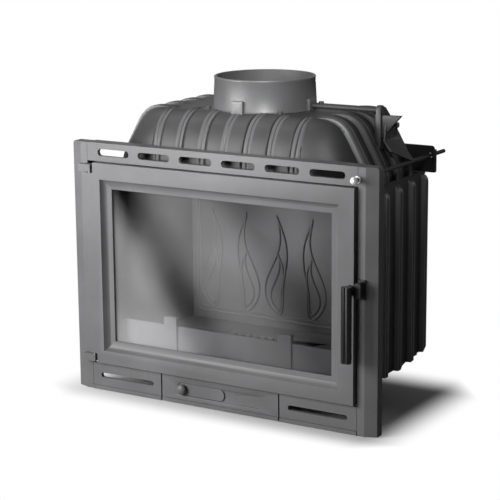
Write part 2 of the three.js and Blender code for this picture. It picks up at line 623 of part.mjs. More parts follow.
add(firebox, 'left_side_plate', sidePlate(-1), darkIron());
add(firebox, 'right_side_plate', sidePlate(1), darkIron());

function backPlate() {
  const edge = bodyInside - SEAT_GAP;
  const pitch = (2 * (edge - BACK_RIB_MARGIN)) / (BACK_RIB_COUNT - 1);
  const ribs = [];
  for (let i = 0; i < BACK_RIB_COUNT; i += 1) {
    const middle = (i - (BACK_RIB_COUNT - 1) / 2) * pitch;
    ribs.push(box([middle - RIB_THICKNESS / 2, middle + RIB_THICKNESS / 2],
      [BODY_BACK - 1, BODY_BACK + BACK_RIB_HEIGHT], [bodyBottom + BACK_RIB_RISE, bodyTop - BACK_RIB_DROP]));
  }
  return join(box([-edge, edge], [backPlateFront, BODY_BACK], [baseTop + SEAT_GAP, bodyTop]), ...ribs);
}

add(firebox, 'back_plate', backPlate(), darkIron());

const grateBack = GRATE_FRONT + GRATE_LENGTH;
const throughX = GRATE_HALF_WIDTH - GRATE_LEDGE;
const through = [[-throughX, throughX], [GRATE_FRONT + GRATE_LEDGE, grateBack - GRATE_LEDGE]];

add(firebox, 'base_plate', cut(
  box([-bodyInside + SEAT_GAP, bodyInside - SEAT_GAP], [bodyFront, backPlateFront - SEAT_GAP],
    [baseTop - BASE_THICKNESS, baseTop]),
  box(...through, [0, SURROUND_HEIGHT]),
), darkIron());

add(firebox, 'hearth_floor', cut(
  box([-liningFace + SEAT_GAP, liningFace - SEAT_GAP], [bodyFront, hearthBack], [hearthBottom, hearthTop]),
  box(...through, [0, SURROUND_HEIGHT]),
  box([-GRATE_HALF_WIDTH - SEAT_GAP, GRATE_HALF_WIDTH + SEAT_GAP], [GRATE_FRONT - SEAT_GAP, grateBack + SEAT_GAP],
    [hearthTop - GRATE_THICKNESS - SEAT_GAP, SURROUND_HEIGHT]),
), darkIron());

function grate() {
  const slots = [];
  const pitch = (2 * GRATE_HALF_WIDTH - 2 * GRATE_MARGIN) / GRATE_BARS;
  for (let i = 0; i < GRATE_BARS; i += 1) {
    const middle = (i - (GRATE_BARS - 1) / 2) * pitch;
    slots.push(box([middle - GRATE_SLOT_WIDTH / 2, middle + GRATE_SLOT_WIDTH / 2],
      [GRATE_FRONT + GRATE_MARGIN, grateBack - GRATE_MARGIN], [0, SURROUND_HEIGHT]));
  }
  return cut(box([-GRATE_HALF_WIDTH, GRATE_HALF_WIDTH], [GRATE_FRONT, grateBack],
    [hearthTop - GRATE_THICKNESS, hearthTop]), ...slots);
}

add(firebox, 'grate', grate(), darkIron());

add(firebox, 'left_lining_plate',
  box([-liningOuter, -liningFace], [bodyFront, liningBack], [hearthBottom, liningTop]), castIron());
add(firebox, 'right_lining_plate',
  box([liningFace, liningOuter], [bodyFront, liningBack], [hearthBottom, liningTop]), castIron());

// A tongue of flame: one swelling S-shaped leaf, plain and symmetrical from one copy to the next.
function flame(middle, lean) {
  const w = FLAME_WIDTH / 2;
  const h = flameHeight;
  const at = (x, z) => [middle + lean * x * w, flameFoot + z * h];
  const shape = new THREE.Shape();
  shape.moveTo(...at(0, 0));
  shape.bezierCurveTo(...at(-1.3, 0.12), ...at(-1.1, 0.3), ...at(-0.35, 0.46));
  shape.bezierCurveTo(...at(0.2, 0.6), ...at(-0.1, 0.8), ...at(-0.5, 1));
  shape.bezierCurveTo(...at(0.6, 0.85), ...at(0.9, 0.66), ...at(0.5, 0.48));
  shape.bezierCurveTo(...at(0.95, 0.3), ...at(1.1, 0.12), ...at(0, 0));
  const geometry = new THREE.ExtrudeGeometry(shape, { depth: FLAME_RISE + 1, bevelEnabled: false, curveSegments: 6 });
  return solid(geometry.rotateX(Math.PI / 2).translate(0, firebackFace + 1, 0));
}

function fireback() {
  const bottom = hearthBottom;
  const plate = box([-firebackEdge, firebackEdge], [firebackFace, firebackFace + FIREBACK_THICKNESS],
    [bottom, firebackTop]);
  const inner = firebackEdge - FIREBACK_EDGE;
  const border = alongY(outline(
    rectangle([-inner, inner], [hearthTop + 6, firebackTop - 8]),
    [roundedRectangle(THREE.Path, [-inner + FIREBACK_BORDER, inner - FIREBACK_BORDER],
      [hearthTop + 6 + FIREBACK_BORDER, firebackTop - 8 - FIREBACK_BORDER], 8)],
  ), [firebackFace - FIREBACK_BORDER_RISE, firebackFace + 1], 3);
  const flames = [];
  for (let i = 0; i < FLAME_COUNT; i += 1) {
    flames.push(flame((i - (FLAME_COUNT - 1) / 2) * flamePitch, i % 2 === 0 ? 1 : -1));
  }
  const spacerX = firebackEdge - SPACER_INSET;
  const spacers = [-spacerX, spacerX].map((x) => box([x - SPACER_WIDTH / 2, x + SPACER_WIDTH / 2],
    [firebackFace + FIREBACK_THICKNESS - 1, liningBack], [bottom, firebackTop]));
  return join(plate, border, ...flames, ...spacers);
}

add(firebox, 'fireback', fireback(), castIron());

add(firebox, 'smoke_baffle', box([-liningOuter, liningOuter], [BAFFLE_FRONT, liningBack],
  [liningTop + SEAT_GAP, liningTop + SEAT_GAP + BAFFLE_THICKNESS]), darkIron());

function logRetainer() {
  const z0 = hearthTop + SEAT_GAP;
  const rail = alongY(roundedRectangle(THREE.Shape, [-retainerHalfWidth, retainerHalfWidth],
    [z0, z0 + RETAINER_HEIGHT], RETAINER_CORNER), [retainerY, retainerY + RETAINER_THICKNESS], 3);
  const posts = [-1, 1].map((side) => box(
    [side * retainerPostX - RETAINER_POST_WIDTH / 2, side * retainerPostX + RETAINER_POST_WIDTH / 2],
    [retainerY + RETAINER_THICKNESS - RETAINER_POST_DEPTH, retainerY + RETAINER_THICKNESS + 1],
    [z0, z0 + RETAINER_POST_HEIGHT]));
  return join(rail, ...posts);
}

add(firebox, 'log_retainer', logRetainer(), castIron());

const ashBoxTop = baseTop - BASE_THICKNESS - SEAT_GAP;
add(firebox, 'ash_box', cut(
  box([-ashBoxHalfWidth, ashBoxHalfWidth], [bodyFront, ashBoxBack], [0, ashBoxTop]),
  box([-ashBoxHalfWidth + ASH_BOX_WALL, ashBoxHalfWidth - ASH_BOX_WALL],
    [0, ashBoxBack - ASH_BOX_WALL], [ASH_BOX_WALL, SURROUND_HEIGHT]),
), darkIron());
insert.add(firebox);

// ---------------------------------------------------------------- smoke hood
const hood = new THREE.Group();
const HOOD_STEPS = 9;

// Quarter ellipse from one end to the other, as points.
function quarter([cx, cy], rx, ry, from, to, steps = HOOD_STEPS) {
  const points = [];
  for (let i = 0; i <= steps; i += 1) {
    const angle = from + ((to - from) * i) / steps;
    points.push([cx + rx * Math.cos(angle), cy + ry * Math.sin(angle)]);
  }
  return points;
}

// Half the width of the hood at its middle, as an outline in X and Z from the base up to the flat top.
function flank(grow, bottom) {
  const at = (x, z) => [x + grow, z + grow];
  const lowX = hoodHalfWidth;
  const footX = lowX - HOOD_FLANK_LEAN * (flankFoot - flankBend);
  const headX = footX - HOOD_FLANK_LEAN * (flankHead - flankFoot);
  const overX = headX - HOOD_FLANK_LEAN * (hoodTop - flankHead);
  const path = new THREE.Path();
  path.moveTo(lowX + grow, bottom);
  path.lineTo(lowX + grow, flangeTop);
  path.quadraticCurveTo(...at(lowX, flankBend), ...at(footX, flankFoot));
  path.lineTo(...at(headX, flankHead));
  path.quadraticCurveTo(...at(overX, hoodTop), ...at(plateauHalfWidth, hoodTop));
  return path.getPoints(6);
}

const hoodBack = BODY_BACK;
const shoulderLevel = hoodTop - HOOD_SHOULDER_Z;

function shoulderY(z, grow) {
  const rise = Math.min(1, Math.max(0, (z - shoulderLevel) / (HOOD_SHOULDER_Z + grow)));
  return (HOOD_SHOULDER_Y + grow) * (1 - Math.sqrt(1 - rise * rise));
}

// Loaf-shaped form: every level is a rectangle with elliptical corners that shrinks towards the top.
function hoodForm(grow, bottom) {
  const levels = flank(grow, bottom);
  const steps = 7;
  const around = 4 * (steps + 1);
  const geometry = new THREE.CylinderGeometry(1, 1, 1, around, levels.length - 1);
  const position = geometry.attributes.position;
  for (let i = 0; i < position.count; i += 1) {
    const x = position.getX(i);
    const z = position.getZ(i);
    const level = levels[Math.round((position.getY(i) + 0.5) * (levels.length - 1))];
    const onAxis = Math.hypot(x, z) < 0.5;
    const turn = (Math.round((Math.atan2(x, z) / (2 * Math.PI)) * around) + around) % around;
    const corner = Math.floor(turn / (steps + 1));
    const angle = ((corner + (turn % (steps + 1)) / steps) * Math.PI) / 2;
    const inward = shoulderY(level.y, grow);
    const front = hoodFront - grow + inward;
    const back = hoodBack + grow - inward;
    const right = corner < 2 ? 1 : -1;
    const rear = corner === 1 || corner === 2;
    const cornerY = rear ? hoodBack - HOOD_CORNER_Y : hoodFront + HOOD_CORNER_Y;
    const reachY = rear ? back - cornerY : cornerY - front;
    const placeX = right * hoodCornerX + (level.x - hoodCornerX) * Math.sin(angle);
    const placeY = cornerY - reachY * Math.cos(angle);
    position.setXYZ(i, onAxis ? 0 : placeX, onAxis ? FLUE_SETBACK : placeY, level.y);
  }
  return solid(geometry);
}

// A rib over the hood's flank. Towards a corner its face slopes back into the hood.
function hoodRib(index, side) {
  const y0 = ribFirst + index * ribPitch;
  const grown = flank(0, flangeTop - 1).map((point) => [point.x + HOOD_RIB_RISE_X, point.y + HOOD_RIB_RISE_Z]);
  const inner = flank(-4, flangeTop - 1).reverse().map((point) => [point.x, point.y]);
  const shape = outline([...grown, ...inner]);
  const geometry = new THREE.ExtrudeGeometry(shape, { depth: RIB_THICKNESS, bevelEnabled: false });
  geometry.rotateX(Math.PI / 2).translate(0, y0 + RIB_THICKNESS, 0);
  const slopedEnd = { 0: y0, [HOOD_RIB_COUNT - 1]: y0 + RIB_THICKNESS }[index];
  const position = geometry.attributes.position;
  for (let i = 0; i < position.count; i += 1) {
    if (Math.abs(position.getY(i) - slopedEnd) < 0.01) {
      position.setX(i, position.getX(i) - HOOD_RIB_RISE_X - 0.4);
      position.setZ(i, position.getZ(i) - HOOD_RIB_RISE_Z - 0.4);
    }
  }
  const rib = solid(geometry);
  return side > 0 ? rib : rib.mirror([1, 0, 0]);
}

function frontGroove(x) {
  const centre = [hoodFront + HOOD_SHOULDER_Y, shoulderLevel];
  const points = [
    [hoodFront - 2, flangeTop + 2],
    ...quarter(centre, HOOD_SHOULDER_Y + 2, HOOD_SHOULDER_Z + 2, Math.PI, Math.PI / 2),
    ...quarter(centre, HOOD_SHOULDER_Y - GROOVE_DEPTH, HOOD_SHOULDER_Z - GROOVE_DEPTH, Math.PI / 2, Math.PI),
    [hoodFront + GROOVE_DEPTH, flangeTop + 2],
  ];
  return alongX(outline(points), [x - GROOVE_WIDTH / 2, x + GROOVE_WIDTH / 2]);
}

// The lug on the right shoulder carries the outer end of the damper's shaft.
function shaftLug() {
  const half = SHAFT_LUG_WIDTH / 2;
  const crown = SHAFT_LUG_TOP_WIDTH / 2;
  const foot = hoodTop - SHAFT_LUG_FOOT;
  const shoulder = shaftZ + SHAFT_LUG_SHOULDER;
  const top = shaftZ + SHAFT_LUG_TOP;
  const body = alongX(outline([
    [FLUE_SETBACK - half, foot], [FLUE_SETBACK + half, foot], [FLUE_SETBACK + half, shoulder],
    [FLUE_SETBACK + crown, top], [FLUE_SETBACK - crown, top], [FLUE_SETBACK - half, shoulder],
  ]), [shaftLugX, shaftLugX + SHAFT_LUG_LENGTH]);
  const web = alongY(outline([
    [shaftLugX - SHAFT_WEB_REACH, hoodTop - SHAFT_WEB_DROP], [shaftLugX + 2, foot], [shaftLugX + 2, shaftZ - SHAFT_WEB_TOP],
  ]), [FLUE_SETBACK - SHAFT_WEB_THICKNESS / 2, FLUE_SETBACK + SHAFT_WEB_THICKNESS / 2]);
  return join(body, web);
}

const shaftHole = roundBar('x', SHAFT_RADIUS + SHAFT_PLAY,
  [-FLUE_BASE_RADIUS - 20, shaftLugX + SHAFT_LUG_LENGTH + 2], [FLUE_SETBACK, shaftZ], 16);

function smokeHood() {
  const flange = alongZ(outline(
    rectangle([-bodyHalfWidth - HOOD_FLANGE_LAP, bodyHalfWidth + HOOD_FLANGE_LAP],
      [bodyFront + HOOD_FLANGE_SETBACK, BODY_BACK])), [hoodBottom, flangeTop]);
  const ribs = [];
  for (let i = 0; i < HOOD_RIB_COUNT; i += 1) {
    ribs.push(hoodRib(i, 1), hoodRib(i, -1));
  }
  const grooves = [];
  for (let i = 0; i < GROOVE_COUNT; i += 1) {
    grooves.push(frontGroove((i - (GROOVE_COUNT - 1) / 2) * groovePitch));
  }
  const shell = cut(join(hoodForm(0, hoodBottom + 1), flange, ...ribs, shaftLug()),
    hoodForm(-HOOD_WALL, hoodBottom - 5));
  const flueHole = roundBar('z', FLUE_BASE_RADIUS - FLUE_WALL - 4, [hoodTop - 40, hoodTop + 40],
    [0, FLUE_SETBACK], 48);
  return cut(shell, flueHole, shaftHole, ...grooves);
}

add(hood, 'smoke_hood', smokeHood(), castIron());

// ---------------------------------------------------------------- flue collar
const collarBottom = hoodTop + SEAT_GAP;

function flueCollar() {
  const wallAt = (radius, z) => new THREE.Vector2(radius, z);
  const profile = [
    wallAt(FLUE_BASE_RADIUS - FLUE_WALL, collarBottom), wallAt(FLUE_BASE_RADIUS + 1, collarBottom),
    wallAt(FLUE_BASE_RADIUS + 1, collarBottom + 4), wallAt(FLUE_BASE_RADIUS - 1, collarBottom + 7),
    wallAt(FLUE_RADIUS, flueRimZ), wallAt(FLUE_RADIUS - FLUE_WALL, flueRimZ),
    wallAt(FLUE_BASE_RADIUS - FLUE_WALL, collarBottom),
  ];
  const tube = solid(new THREE.LatheGeometry(profile, 48).rotateX(Math.PI / 2));
  const bore = solid(new THREE.CylinderGeometry(FLUE_RADIUS - FLUE_WALL, FLUE_BASE_RADIUS - FLUE_WALL,
    flueRimZ - collarBottom, 48).rotateX(Math.PI / 2).translate(0, 0, (flueRimZ + collarBottom) / 2));
  const extras = [];
  for (let i = 0; i < 4; i += 1) {
    const boss = box([FLUE_BASE_RADIUS - FLUE_WALL - 3, FLUE_BASE_RADIUS + FLUE_BOSS_RISE],
      [-FLUE_BOSS_WIDTH / 2, FLUE_BOSS_WIDTH / 2], [collarBottom, collarBottom + FLUE_BOSS_HEIGHT]);
    const ear = box([FLUE_BASE_RADIUS - FLUE_WALL, FLUE_BASE_RADIUS + FLUE_EAR_REACH],
      [-FLUE_EAR_WIDTH / 2, FLUE_EAR_WIDTH / 2], [collarBottom, collarBottom + FLUE_EAR_THICKNESS]);
    extras.push(boss.rotate([0, 0, 90 * i]), ear.rotate([0, 0, 45 + 90 * i]));
  }
  return cut(cut(join(tube, ...extras), bore).translate([0, FLUE_SETBACK, 0]), shaftHole);
}

add(hood, 'flue_collar', flueCollar(), castIron());

const earBolt = FLUE_BASE_RADIUS + FLUE_EAR_REACH / 2 + 2;
const earTop = collarBottom + FLUE_EAR_THICKNESS + SEAT_GAP;
for (let i = 0; i < 4; i += 1) {
  const angle = THREE.MathUtils.degToRad(45 + 90 * i);
  const place = [earBolt * Math.cos(angle), FLUE_SETBACK + earBolt * Math.sin(angle)];
  add(hood, `collar_bolt_${i + 1}`,
    roundBar('z', COLLAR_BOLT_RADIUS, [earTop, earTop + COLLAR_BOLT_HEIGHT], place, 6), steel());
}

// Half the hood's width at one height, behind the last rib where the rear corners draw in.
function rearHalfWidth(y, z) {
  const levels = flank(0, hoodBottom);
  const above = levels.findIndex((point) => point.y >= z);
  const share = (z - levels[above - 1].y) / (levels[above].y - levels[above - 1].y);
  const middle = levels[above - 1].x + share * (levels[above].x - levels[above - 1].x);
  const reach = HOOD_CORNER_Y - shoulderY(z, 0);
  const along = (y - (hoodBack - HOOD_CORNER_Y)) / reach;
  return hoodCornerX + (middle - hoodCornerX) * Math.sqrt(1 - along * along);
}

// The guide at the back of the right shoulder holds the damper rod's rear end.
function rodGuide() {
  const bottom = flangeTop + SEAT_GAP;
  const edgeX = (z) => rearHalfWidth(guideY, z) + SEAT_GAP + 0.4;
  const levels = [bottom, flankBend - 8, flankBend, flankFoot - 14, flankFoot, guideTop];
  const shape = new THREE.Shape();
  shape.moveTo(edgeX(bottom), bottom);
  shape.lineTo(guideRight, bottom);
  shape.lineTo(guideRight, guideTop - GUIDE_CORNER);
  shape.absarc(guideRight - GUIDE_CORNER, guideTop - GUIDE_CORNER, GUIDE_CORNER, 0, Math.PI / 2);
  levels.reverse().forEach((z) => shape.lineTo(edgeX(z), z));
  const plate = alongY(shape, [guideY, guideY + GUIDE_THICKNESS], 4);
  const edge = box([guideRight - GUIDE_THICKNESS, guideRight], [guideY + 1, guideY + GUIDE_RETURN],
    [bottom, guideTop - GUIDE_CORNER]);
  return cut(join(plate, edge),
    roundBar('y', ROD_RADIUS + ROD_PLAY, [guideY - 1, guideY + GUIDE_THICKNESS + 1], [rodX, rodZ]));
}

add(hood, 'damper_rod_guide', rodGuide(), castIron());
insert.add(hood);

// ---------------------------------------------------------------- door
const door = new THREE.Group();

function doorFrame() {
  const openX = [-glassHalfOpening, glassHalfOpening];
  const openZ = [glassBottom, glassTop];
  const slab = box([-doorHalfWidth, doorHalfWidth], [-DOOR_FRONT, DOOR_BACK], [doorBottom, doorTop]);
  const opening = box(openX, [-DOOR_FRONT - 1, DOOR_BACK + 1], openZ);
  // The moulding round the glass widens from the opening towards the door's face.
  const moulding = new THREE.ExtrudeGeometry(outline(rectangle(openX, openZ)), {
    depth: 2, bevelEnabled: true, bevelThickness: MOULDING_DEPTH, bevelSize: MOULDING_WIDTH, bevelSegments: 3,
  });
  const cove = solid(moulding.rotateX(Math.PI / 2)).translate([0, -DOOR_FRONT, 0]);
  const rebate = box([openX[0] - GLASS_LAP - 1, openX[1] + GLASS_LAP + 1],
    [DOOR_BACK - GLASS_THICKNESS - 1.3, DOOR_BACK + 1], [openZ[0] - GLASS_LAP - 1, openZ[1] + GLASS_LAP + 1]);
  const notchX = [-doorHalfWidth - 1, hingeX + HINGE_NOTCH_REACH];
  const notches = [
    box(notchX, [-DOOR_FRONT - 1, DOOR_BACK + 1], [upperHingeZ - HINGE_NOTCH_PLAY, doorTop + 1]),
    box(notchX, [-DOOR_FRONT - 1, DOOR_BACK + 1],
      [doorBottom - 1, lowerHingeZ + HINGE_BLOCK_HEIGHT + HINGE_NOTCH_PLAY]),
  ];
  const pinHoles = [upperPinSpan, lowerPinSpan].map(([z0, z1]) => roundBar('z', HINGE_PIN_RADIUS + HINGE_PIN_PLAY,
    [z0 - 1, z1 + 1], [hingeX, hingeY], 16));
  const spindleHole = roundBar('y', SPINDLE_RADIUS + SPINDLE_PLAY, [-DOOR_FRONT - 1, DOOR_BACK + 1],
    [handleX, handleZ]);
  return cut(slab, opening, cove, rebate, ...notches, ...pinHoles, spindleHole);
}

add(door, 'door_frame', doorFrame(), castIron());

const glassX = glassHalfOpening + GLASS_LAP;
const glassBack = DOOR_BACK - 1;
add(door, 'door_glass', box([-glassX, glassX], [glassBack - GLASS_THICKNESS, glassBack],
  [glassBottom - GLASS_LAP, glassTop + GLASS_LAP]), ceramicGlass());

// Four clips screwed behind the frame hold the glass in its rebate.
const clipRows = [['lower', glassBottom - GLASS_LAP - 1], ['upper', glassTop + GLASS_LAP + 1]];
for (const [row, z] of clipRows) {
  for (const [side, sign] of [['left', -1], ['right', 1]]) {
    const middle = sign * (glassHalfOpening - CLIP_FROM_CORNER);
    add(door, `glass_clip_${row}_${side}`, box([middle - CLIP_LENGTH / 2, middle + CLIP_LENGTH / 2],
      [DOOR_BACK + SEAT_GAP, DOOR_BACK + SEAT_GAP + CLIP_THICKNESS],
      [z - CLIP_WIDTH / 2, z + CLIP_WIDTH / 2]), steel());
  }
}

const sealX = doorHalfWidth - SEAL_FROM_EDGE;
const sealZ = [doorBottom + SEAL_FROM_EDGE - 4, doorTop - SEAL_FROM_EDGE + 5];
add(door, 'door_seal', alongY((() => {
  const ring = roundedRectangle(THREE.Shape, [-sealX, sealX], sealZ, 14);
  ring.holes.push(roundedRectangle(THREE.Path, [-sealX + SEAL_WIDTH, sealX - SEAL_WIDTH],
    [sealZ[0] + SEAL_WIDTH, sealZ[1] - SEAL_WIDTH], 6));
  return ring;
})(), [DOOR_BACK + SEAT_GAP, DOOR_BACK + SEAT_GAP + SEAL_THICKNESS], 4), rope());

// Handle: grip, hub and latch tongue on a spindle through the door's right stile.
const handle = new THREE.Group();

function doorHandle() {
  const middle = handleX + GRIP_OFFSET;
  const w = GRIP_WIDTH / 2;
  const back = gripFront + GRIP_DEPTH;
  const section = outline([
    [middle - w, back - 3], [middle - w, gripFront + 4], [middle - w + 4, gripFront], [middle - 1.5, gripFront],
    [middle, gripFront + 2], [middle + 1.5, gripFront], [middle + w - 4, gripFront], [middle + w, gripFront + 4],
    [middle + w, back - 3], [middle + w - 3, back], [middle - w + 3, back],
  ]);
  const top = handleZ + GRIP_TOP_RISE;
  const grip = alongZ(section, [top - GRIP_LENGTH, top]);
  const hub = roundBar('y', HUB_RADIUS, [back - 2, -DOOR_FRONT - SEAT_GAP], [handleX, handleZ], 20);
  const tongueBack = -DOOR_FRONT - TONGUE_FROM_DOOR;
  const tongue = box([handleX, handleX + TONGUE_REACH], [tongueBack - TONGUE_THICKNESS, tongueBack],
    [handleZ - TONGUE_HEIGHT / 2, handleZ + TONGUE_HEIGHT / 2]);
  return join(grip, hub, tongue);
}

add(handle, 'door_handle', doorHandle(), blackGrip());
add(handle, 'handle_spindle', roundBar('y', SPINDLE_RADIUS, [-DOOR_FRONT, DOOR_BACK + 1], [handleX, handleZ], 16),
  steel());
add(handle, 'handle_nut', roundBar('y', SPINDLE_NUT_RADIUS, [DOOR_BACK + 1 + SEAT_GAP,
  DOOR_BACK + 1 + SEAT_GAP + SPINDLE_NUT_HEIGHT], [handleX, handleZ], 6), steel());
door.add(handle);
insert.add(door);

// ---------------------------------------------------------------- ash drawer and primary-air slide
const drawer = new THREE.Group();
const trackZ = [airTrackZ - AIR_TRACK_HEIGHT / 2, airTrackZ + AIR_TRACK_HEIGHT / 2];
const slideLeft = -airTrackHalfLength + AIR_SLIDE_PLAY;
const knobX = slideLeft + AIR_KNOB_INSET;

function drawerFront() {
  const track = alongY(roundedRectangle(THREE.Shape, [-airTrackHalfLength, airTrackHalfLength], trackZ,
    AIR_TRACK_HEIGHT / 2 - 0.5), [-FACE_RISE - 1, AIR_TRACK_DEPTH - FACE_RISE], 5);
  const ports = [];
  for (let i = 0; i < AIR_PORT_COUNT; i += 1) {
    const left = knobX + AIR_KNOB_INSET + i * AIR_PORT_PITCH;
    ports.push(box([left, left + AIR_PORT_WIDTH], [-FACE_RISE, 1], [airTrackZ - 6, airTrackZ + 6]));
  }
  return cut(lowerPanel([-drawerHalfWidth, drawerHalfWidth], DRAWER_FLOOR_GAP, []), track, ...ports);
}

add(drawer, 'ash_drawer_front', drawerFront(), castIron());
const panBottom = ASH_BOX_WALL + ASH_PAN_PLAY;
add(drawer, 'ash_pan', cut(
  box([-ashPanHalfWidth, ashPanHalfWidth], [panFront, panFront + ashPanLength], [panBottom, ashPanTop]),
  box([-ashPanHalfWidth + ASH_PAN_WALL, ashPanHalfWidth - ASH_PAN_WALL],
    [panFront + ASH_PAN_WALL, panFront + ashPanLength - ASH_PAN_WALL],
    [panBottom + ASH_PAN_WALL, ashPanTop + 1]),
), steel());

const airControl = new THREE.Group();
const slideBack = AIR_TRACK_DEPTH - FACE_RISE - SEAT_GAP;
const slideFront = slideBack - AIR_SLIDE_THICKNESS;
add(airControl, 'air_slide', alongY(roundedRectangle(THREE.Shape, [slideLeft, slideLeft + airSlideLength],
  [trackZ[0] + AIR_SLIDE_PLAY, trackZ[1] - AIR_SLIDE_PLAY], AIR_TRACK_HEIGHT / 2 - 2),
[slideFront, slideBack], 5), castIron());

function airKnob() {
  const profile = [
    new THREE.Vector2(0, 0), new THREE.Vector2(AIR_KNOB_RADIUS - 3, 0), new THREE.Vector2(AIR_KNOB_RADIUS - 3, 3),
    new THREE.Vector2(AIR_KNOB_RADIUS, 4.5), new THREE.Vector2(AIR_KNOB_RADIUS, 7.5),
    new THREE.Vector2(AIR_KNOB_RADIUS * 0.8, 10.2), new THREE.Vector2(AIR_KNOB_RADIUS * 0.45, AIR_KNOB_DEPTH - 0.4),
    new THREE.Vector2(0, AIR_KNOB_DEPTH),
  ];
  return solid(new THREE.LatheGeometry(profile, 20)).rotate([180, 0, 0])
    .translate([knobX, slideFront - SEAT_GAP, airTrackZ]);
}

add(airControl, 'air_slide_knob', airKnob(), castIron());
drawer.add(airControl);
insert.add(drawer);

// ---------------------------------------------------------------- flue damper
const damper = new THREE.Group();
add(damper, 'damper_shaft', roundBar('x', SHAFT_RADIUS, [-FLUE_BASE_RADIUS - 3, shaftEnd],
  [FLUE_SETBACK, shaftZ], 12), steel());
const flapBottom = shaftZ + SHAFT_RADIUS + SEAT_GAP;
add(damper, 'damper_flap', roundBar('z', flapRadius, [flapBottom, flapBottom + FLAP_THICKNESS],
  [0, FLUE_SETBACK], 32), darkIron());

// Crank: an arm from the shaft's end down and backwards to the pin, pointed above the shaft.
function crank() {
  const half = CRANK_WIDTH / 2;
  const shape = new THREE.Shape();
  shape.moveTo(-half, 0);
  shape.lineTo(0, CRANK_POINT);
  shape.lineTo(half, 0);
  shape.lineTo(half, -CRANK_REACH);
  shape.absarc(0, -CRANK_REACH, half, 0, -Math.PI, true);
  const arm = alongX(shape, [0, CRANK_THICKNESS], 6).rotate([CRANK_ANGLE, 0, 0]);
  return arm.translate([crankX, FLUE_SETBACK, shaftZ]);
}

add(damper, 'damper_crank', crank(), castIron());
const pinStart = crankX + CRANK_THICKNESS + SEAT_GAP;
const pinHead = driverX + DRIVER_THICKNESS + 1;
add(damper, 'crank_pin', join(
  roundBar('x', CRANK_PIN_RADIUS, [pinStart, pinHead + 3], [pinY, pinZ], 12),
  roundBar('x', CRANK_PIN_HEAD, [pinHead, pinHead + 5], [pinY, pinZ], 12),
), steel());
insert.add(damper);

const pull = new THREE.Group();
add(pull, 'damper_rod', roundBar('y', ROD_RADIUS, [-ROD_FRONT_END, rodRearEnd], [rodX, rodZ], 12), steel());

function rodKnob() {
  const profile = [new THREE.Vector2(0, 0), new THREE.Vector2(ROD_RADIUS, 0), new THREE.Vector2(ROD_RADIUS, KNOB_NECK)];
  const neckAngle = Math.asin(ROD_RADIUS / KNOB_RADIUS);
  const middle = KNOB_NECK + KNOB_RADIUS * Math.cos(neckAngle);
  const steps = 9;
  for (let i = 1; i <= steps; i += 1) {
    const angle = neckAngle + ((Math.PI - neckAngle) * i) / steps;
    profile.push(new THREE.Vector2(i === steps ? 0 : KNOB_RADIUS * Math.sin(angle),
      middle - KNOB_RADIUS * Math.cos(angle)));
  }
  return solid(new THREE.LatheGeometry(profile, 20)).rotate([180, 0, 0])
    .translate([rodX, -ROD_FRONT_END - SEAT_GAP, rodZ]);
}

add(pull, 'damper_knob', rodKnob(), chrome());

// Driver: a bent plate that stands on the rod by its rear foot; its upright slot carries the crank's pin.
function driver() {
  const t = DRIVER_THICKNESS;
  const foot = rodZ + ROD_RADIUS + SEAT_GAP;
  const strip = outline([
    [driverX, driverTop], [driverX, driverBend], [rodX - 3, foot], [rodX + 3, foot],
    [rodX + 3, foot + 1], [driverX + t, driverBend + 2], [driverX + t, driverTop],
  ]);
  const front = pinY - DRIVER_LEAD;
  const back = pinY + DRIVER_TAIL;
  const side = outline([
    [front, driverTop], [front - DRIVER_FRONT_LEAN, rodZ + DRIVER_FRONT_FOOT], [back - 16, foot - 1],
    [back - 5, foot - 1], [back, driverBend - 4], [back, driverTop - 12], [back - 10, driverTop],
  ]);
  const reach = [driverX - 1, rodX + 4];
  const body = alongY(strip, [front - DRIVER_FRONT_LEAN - 1, back + 1]).intersect(alongX(side, reach));
  const lowest = shaftZ - CRANK_REACH;
  const halfSlot = CRANK_PIN_RADIUS + DRIVER_SLOT_PLAY;
  const opening = box([driverX - 1, driverX + t + 1], [pinY - halfSlot, pinY + halfSlot],
    [lowest - halfSlot, pinZ + halfSlot]);
  return cut(body, opening);
}

add(pull, 'damper_driver', driver(), castIron());
insert.add(pull);

insert.position.y = -FLUE_SETBACK;

export default insert;
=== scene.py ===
"""Looks of a cast-iron fireplace insert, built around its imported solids.

Metres. X runs to the viewer's right, Y backwards into the chimney, Z up from the hearth.
The origin lies on the hearth under the middle of the flue.
"""

import json
import logging
import math
from dataclasses import dataclass, field
from enum import Enum
from typing import Iterable, Sequence

import bmesh
import bpy
import numpy as np
from mathutils import Matrix, Vector

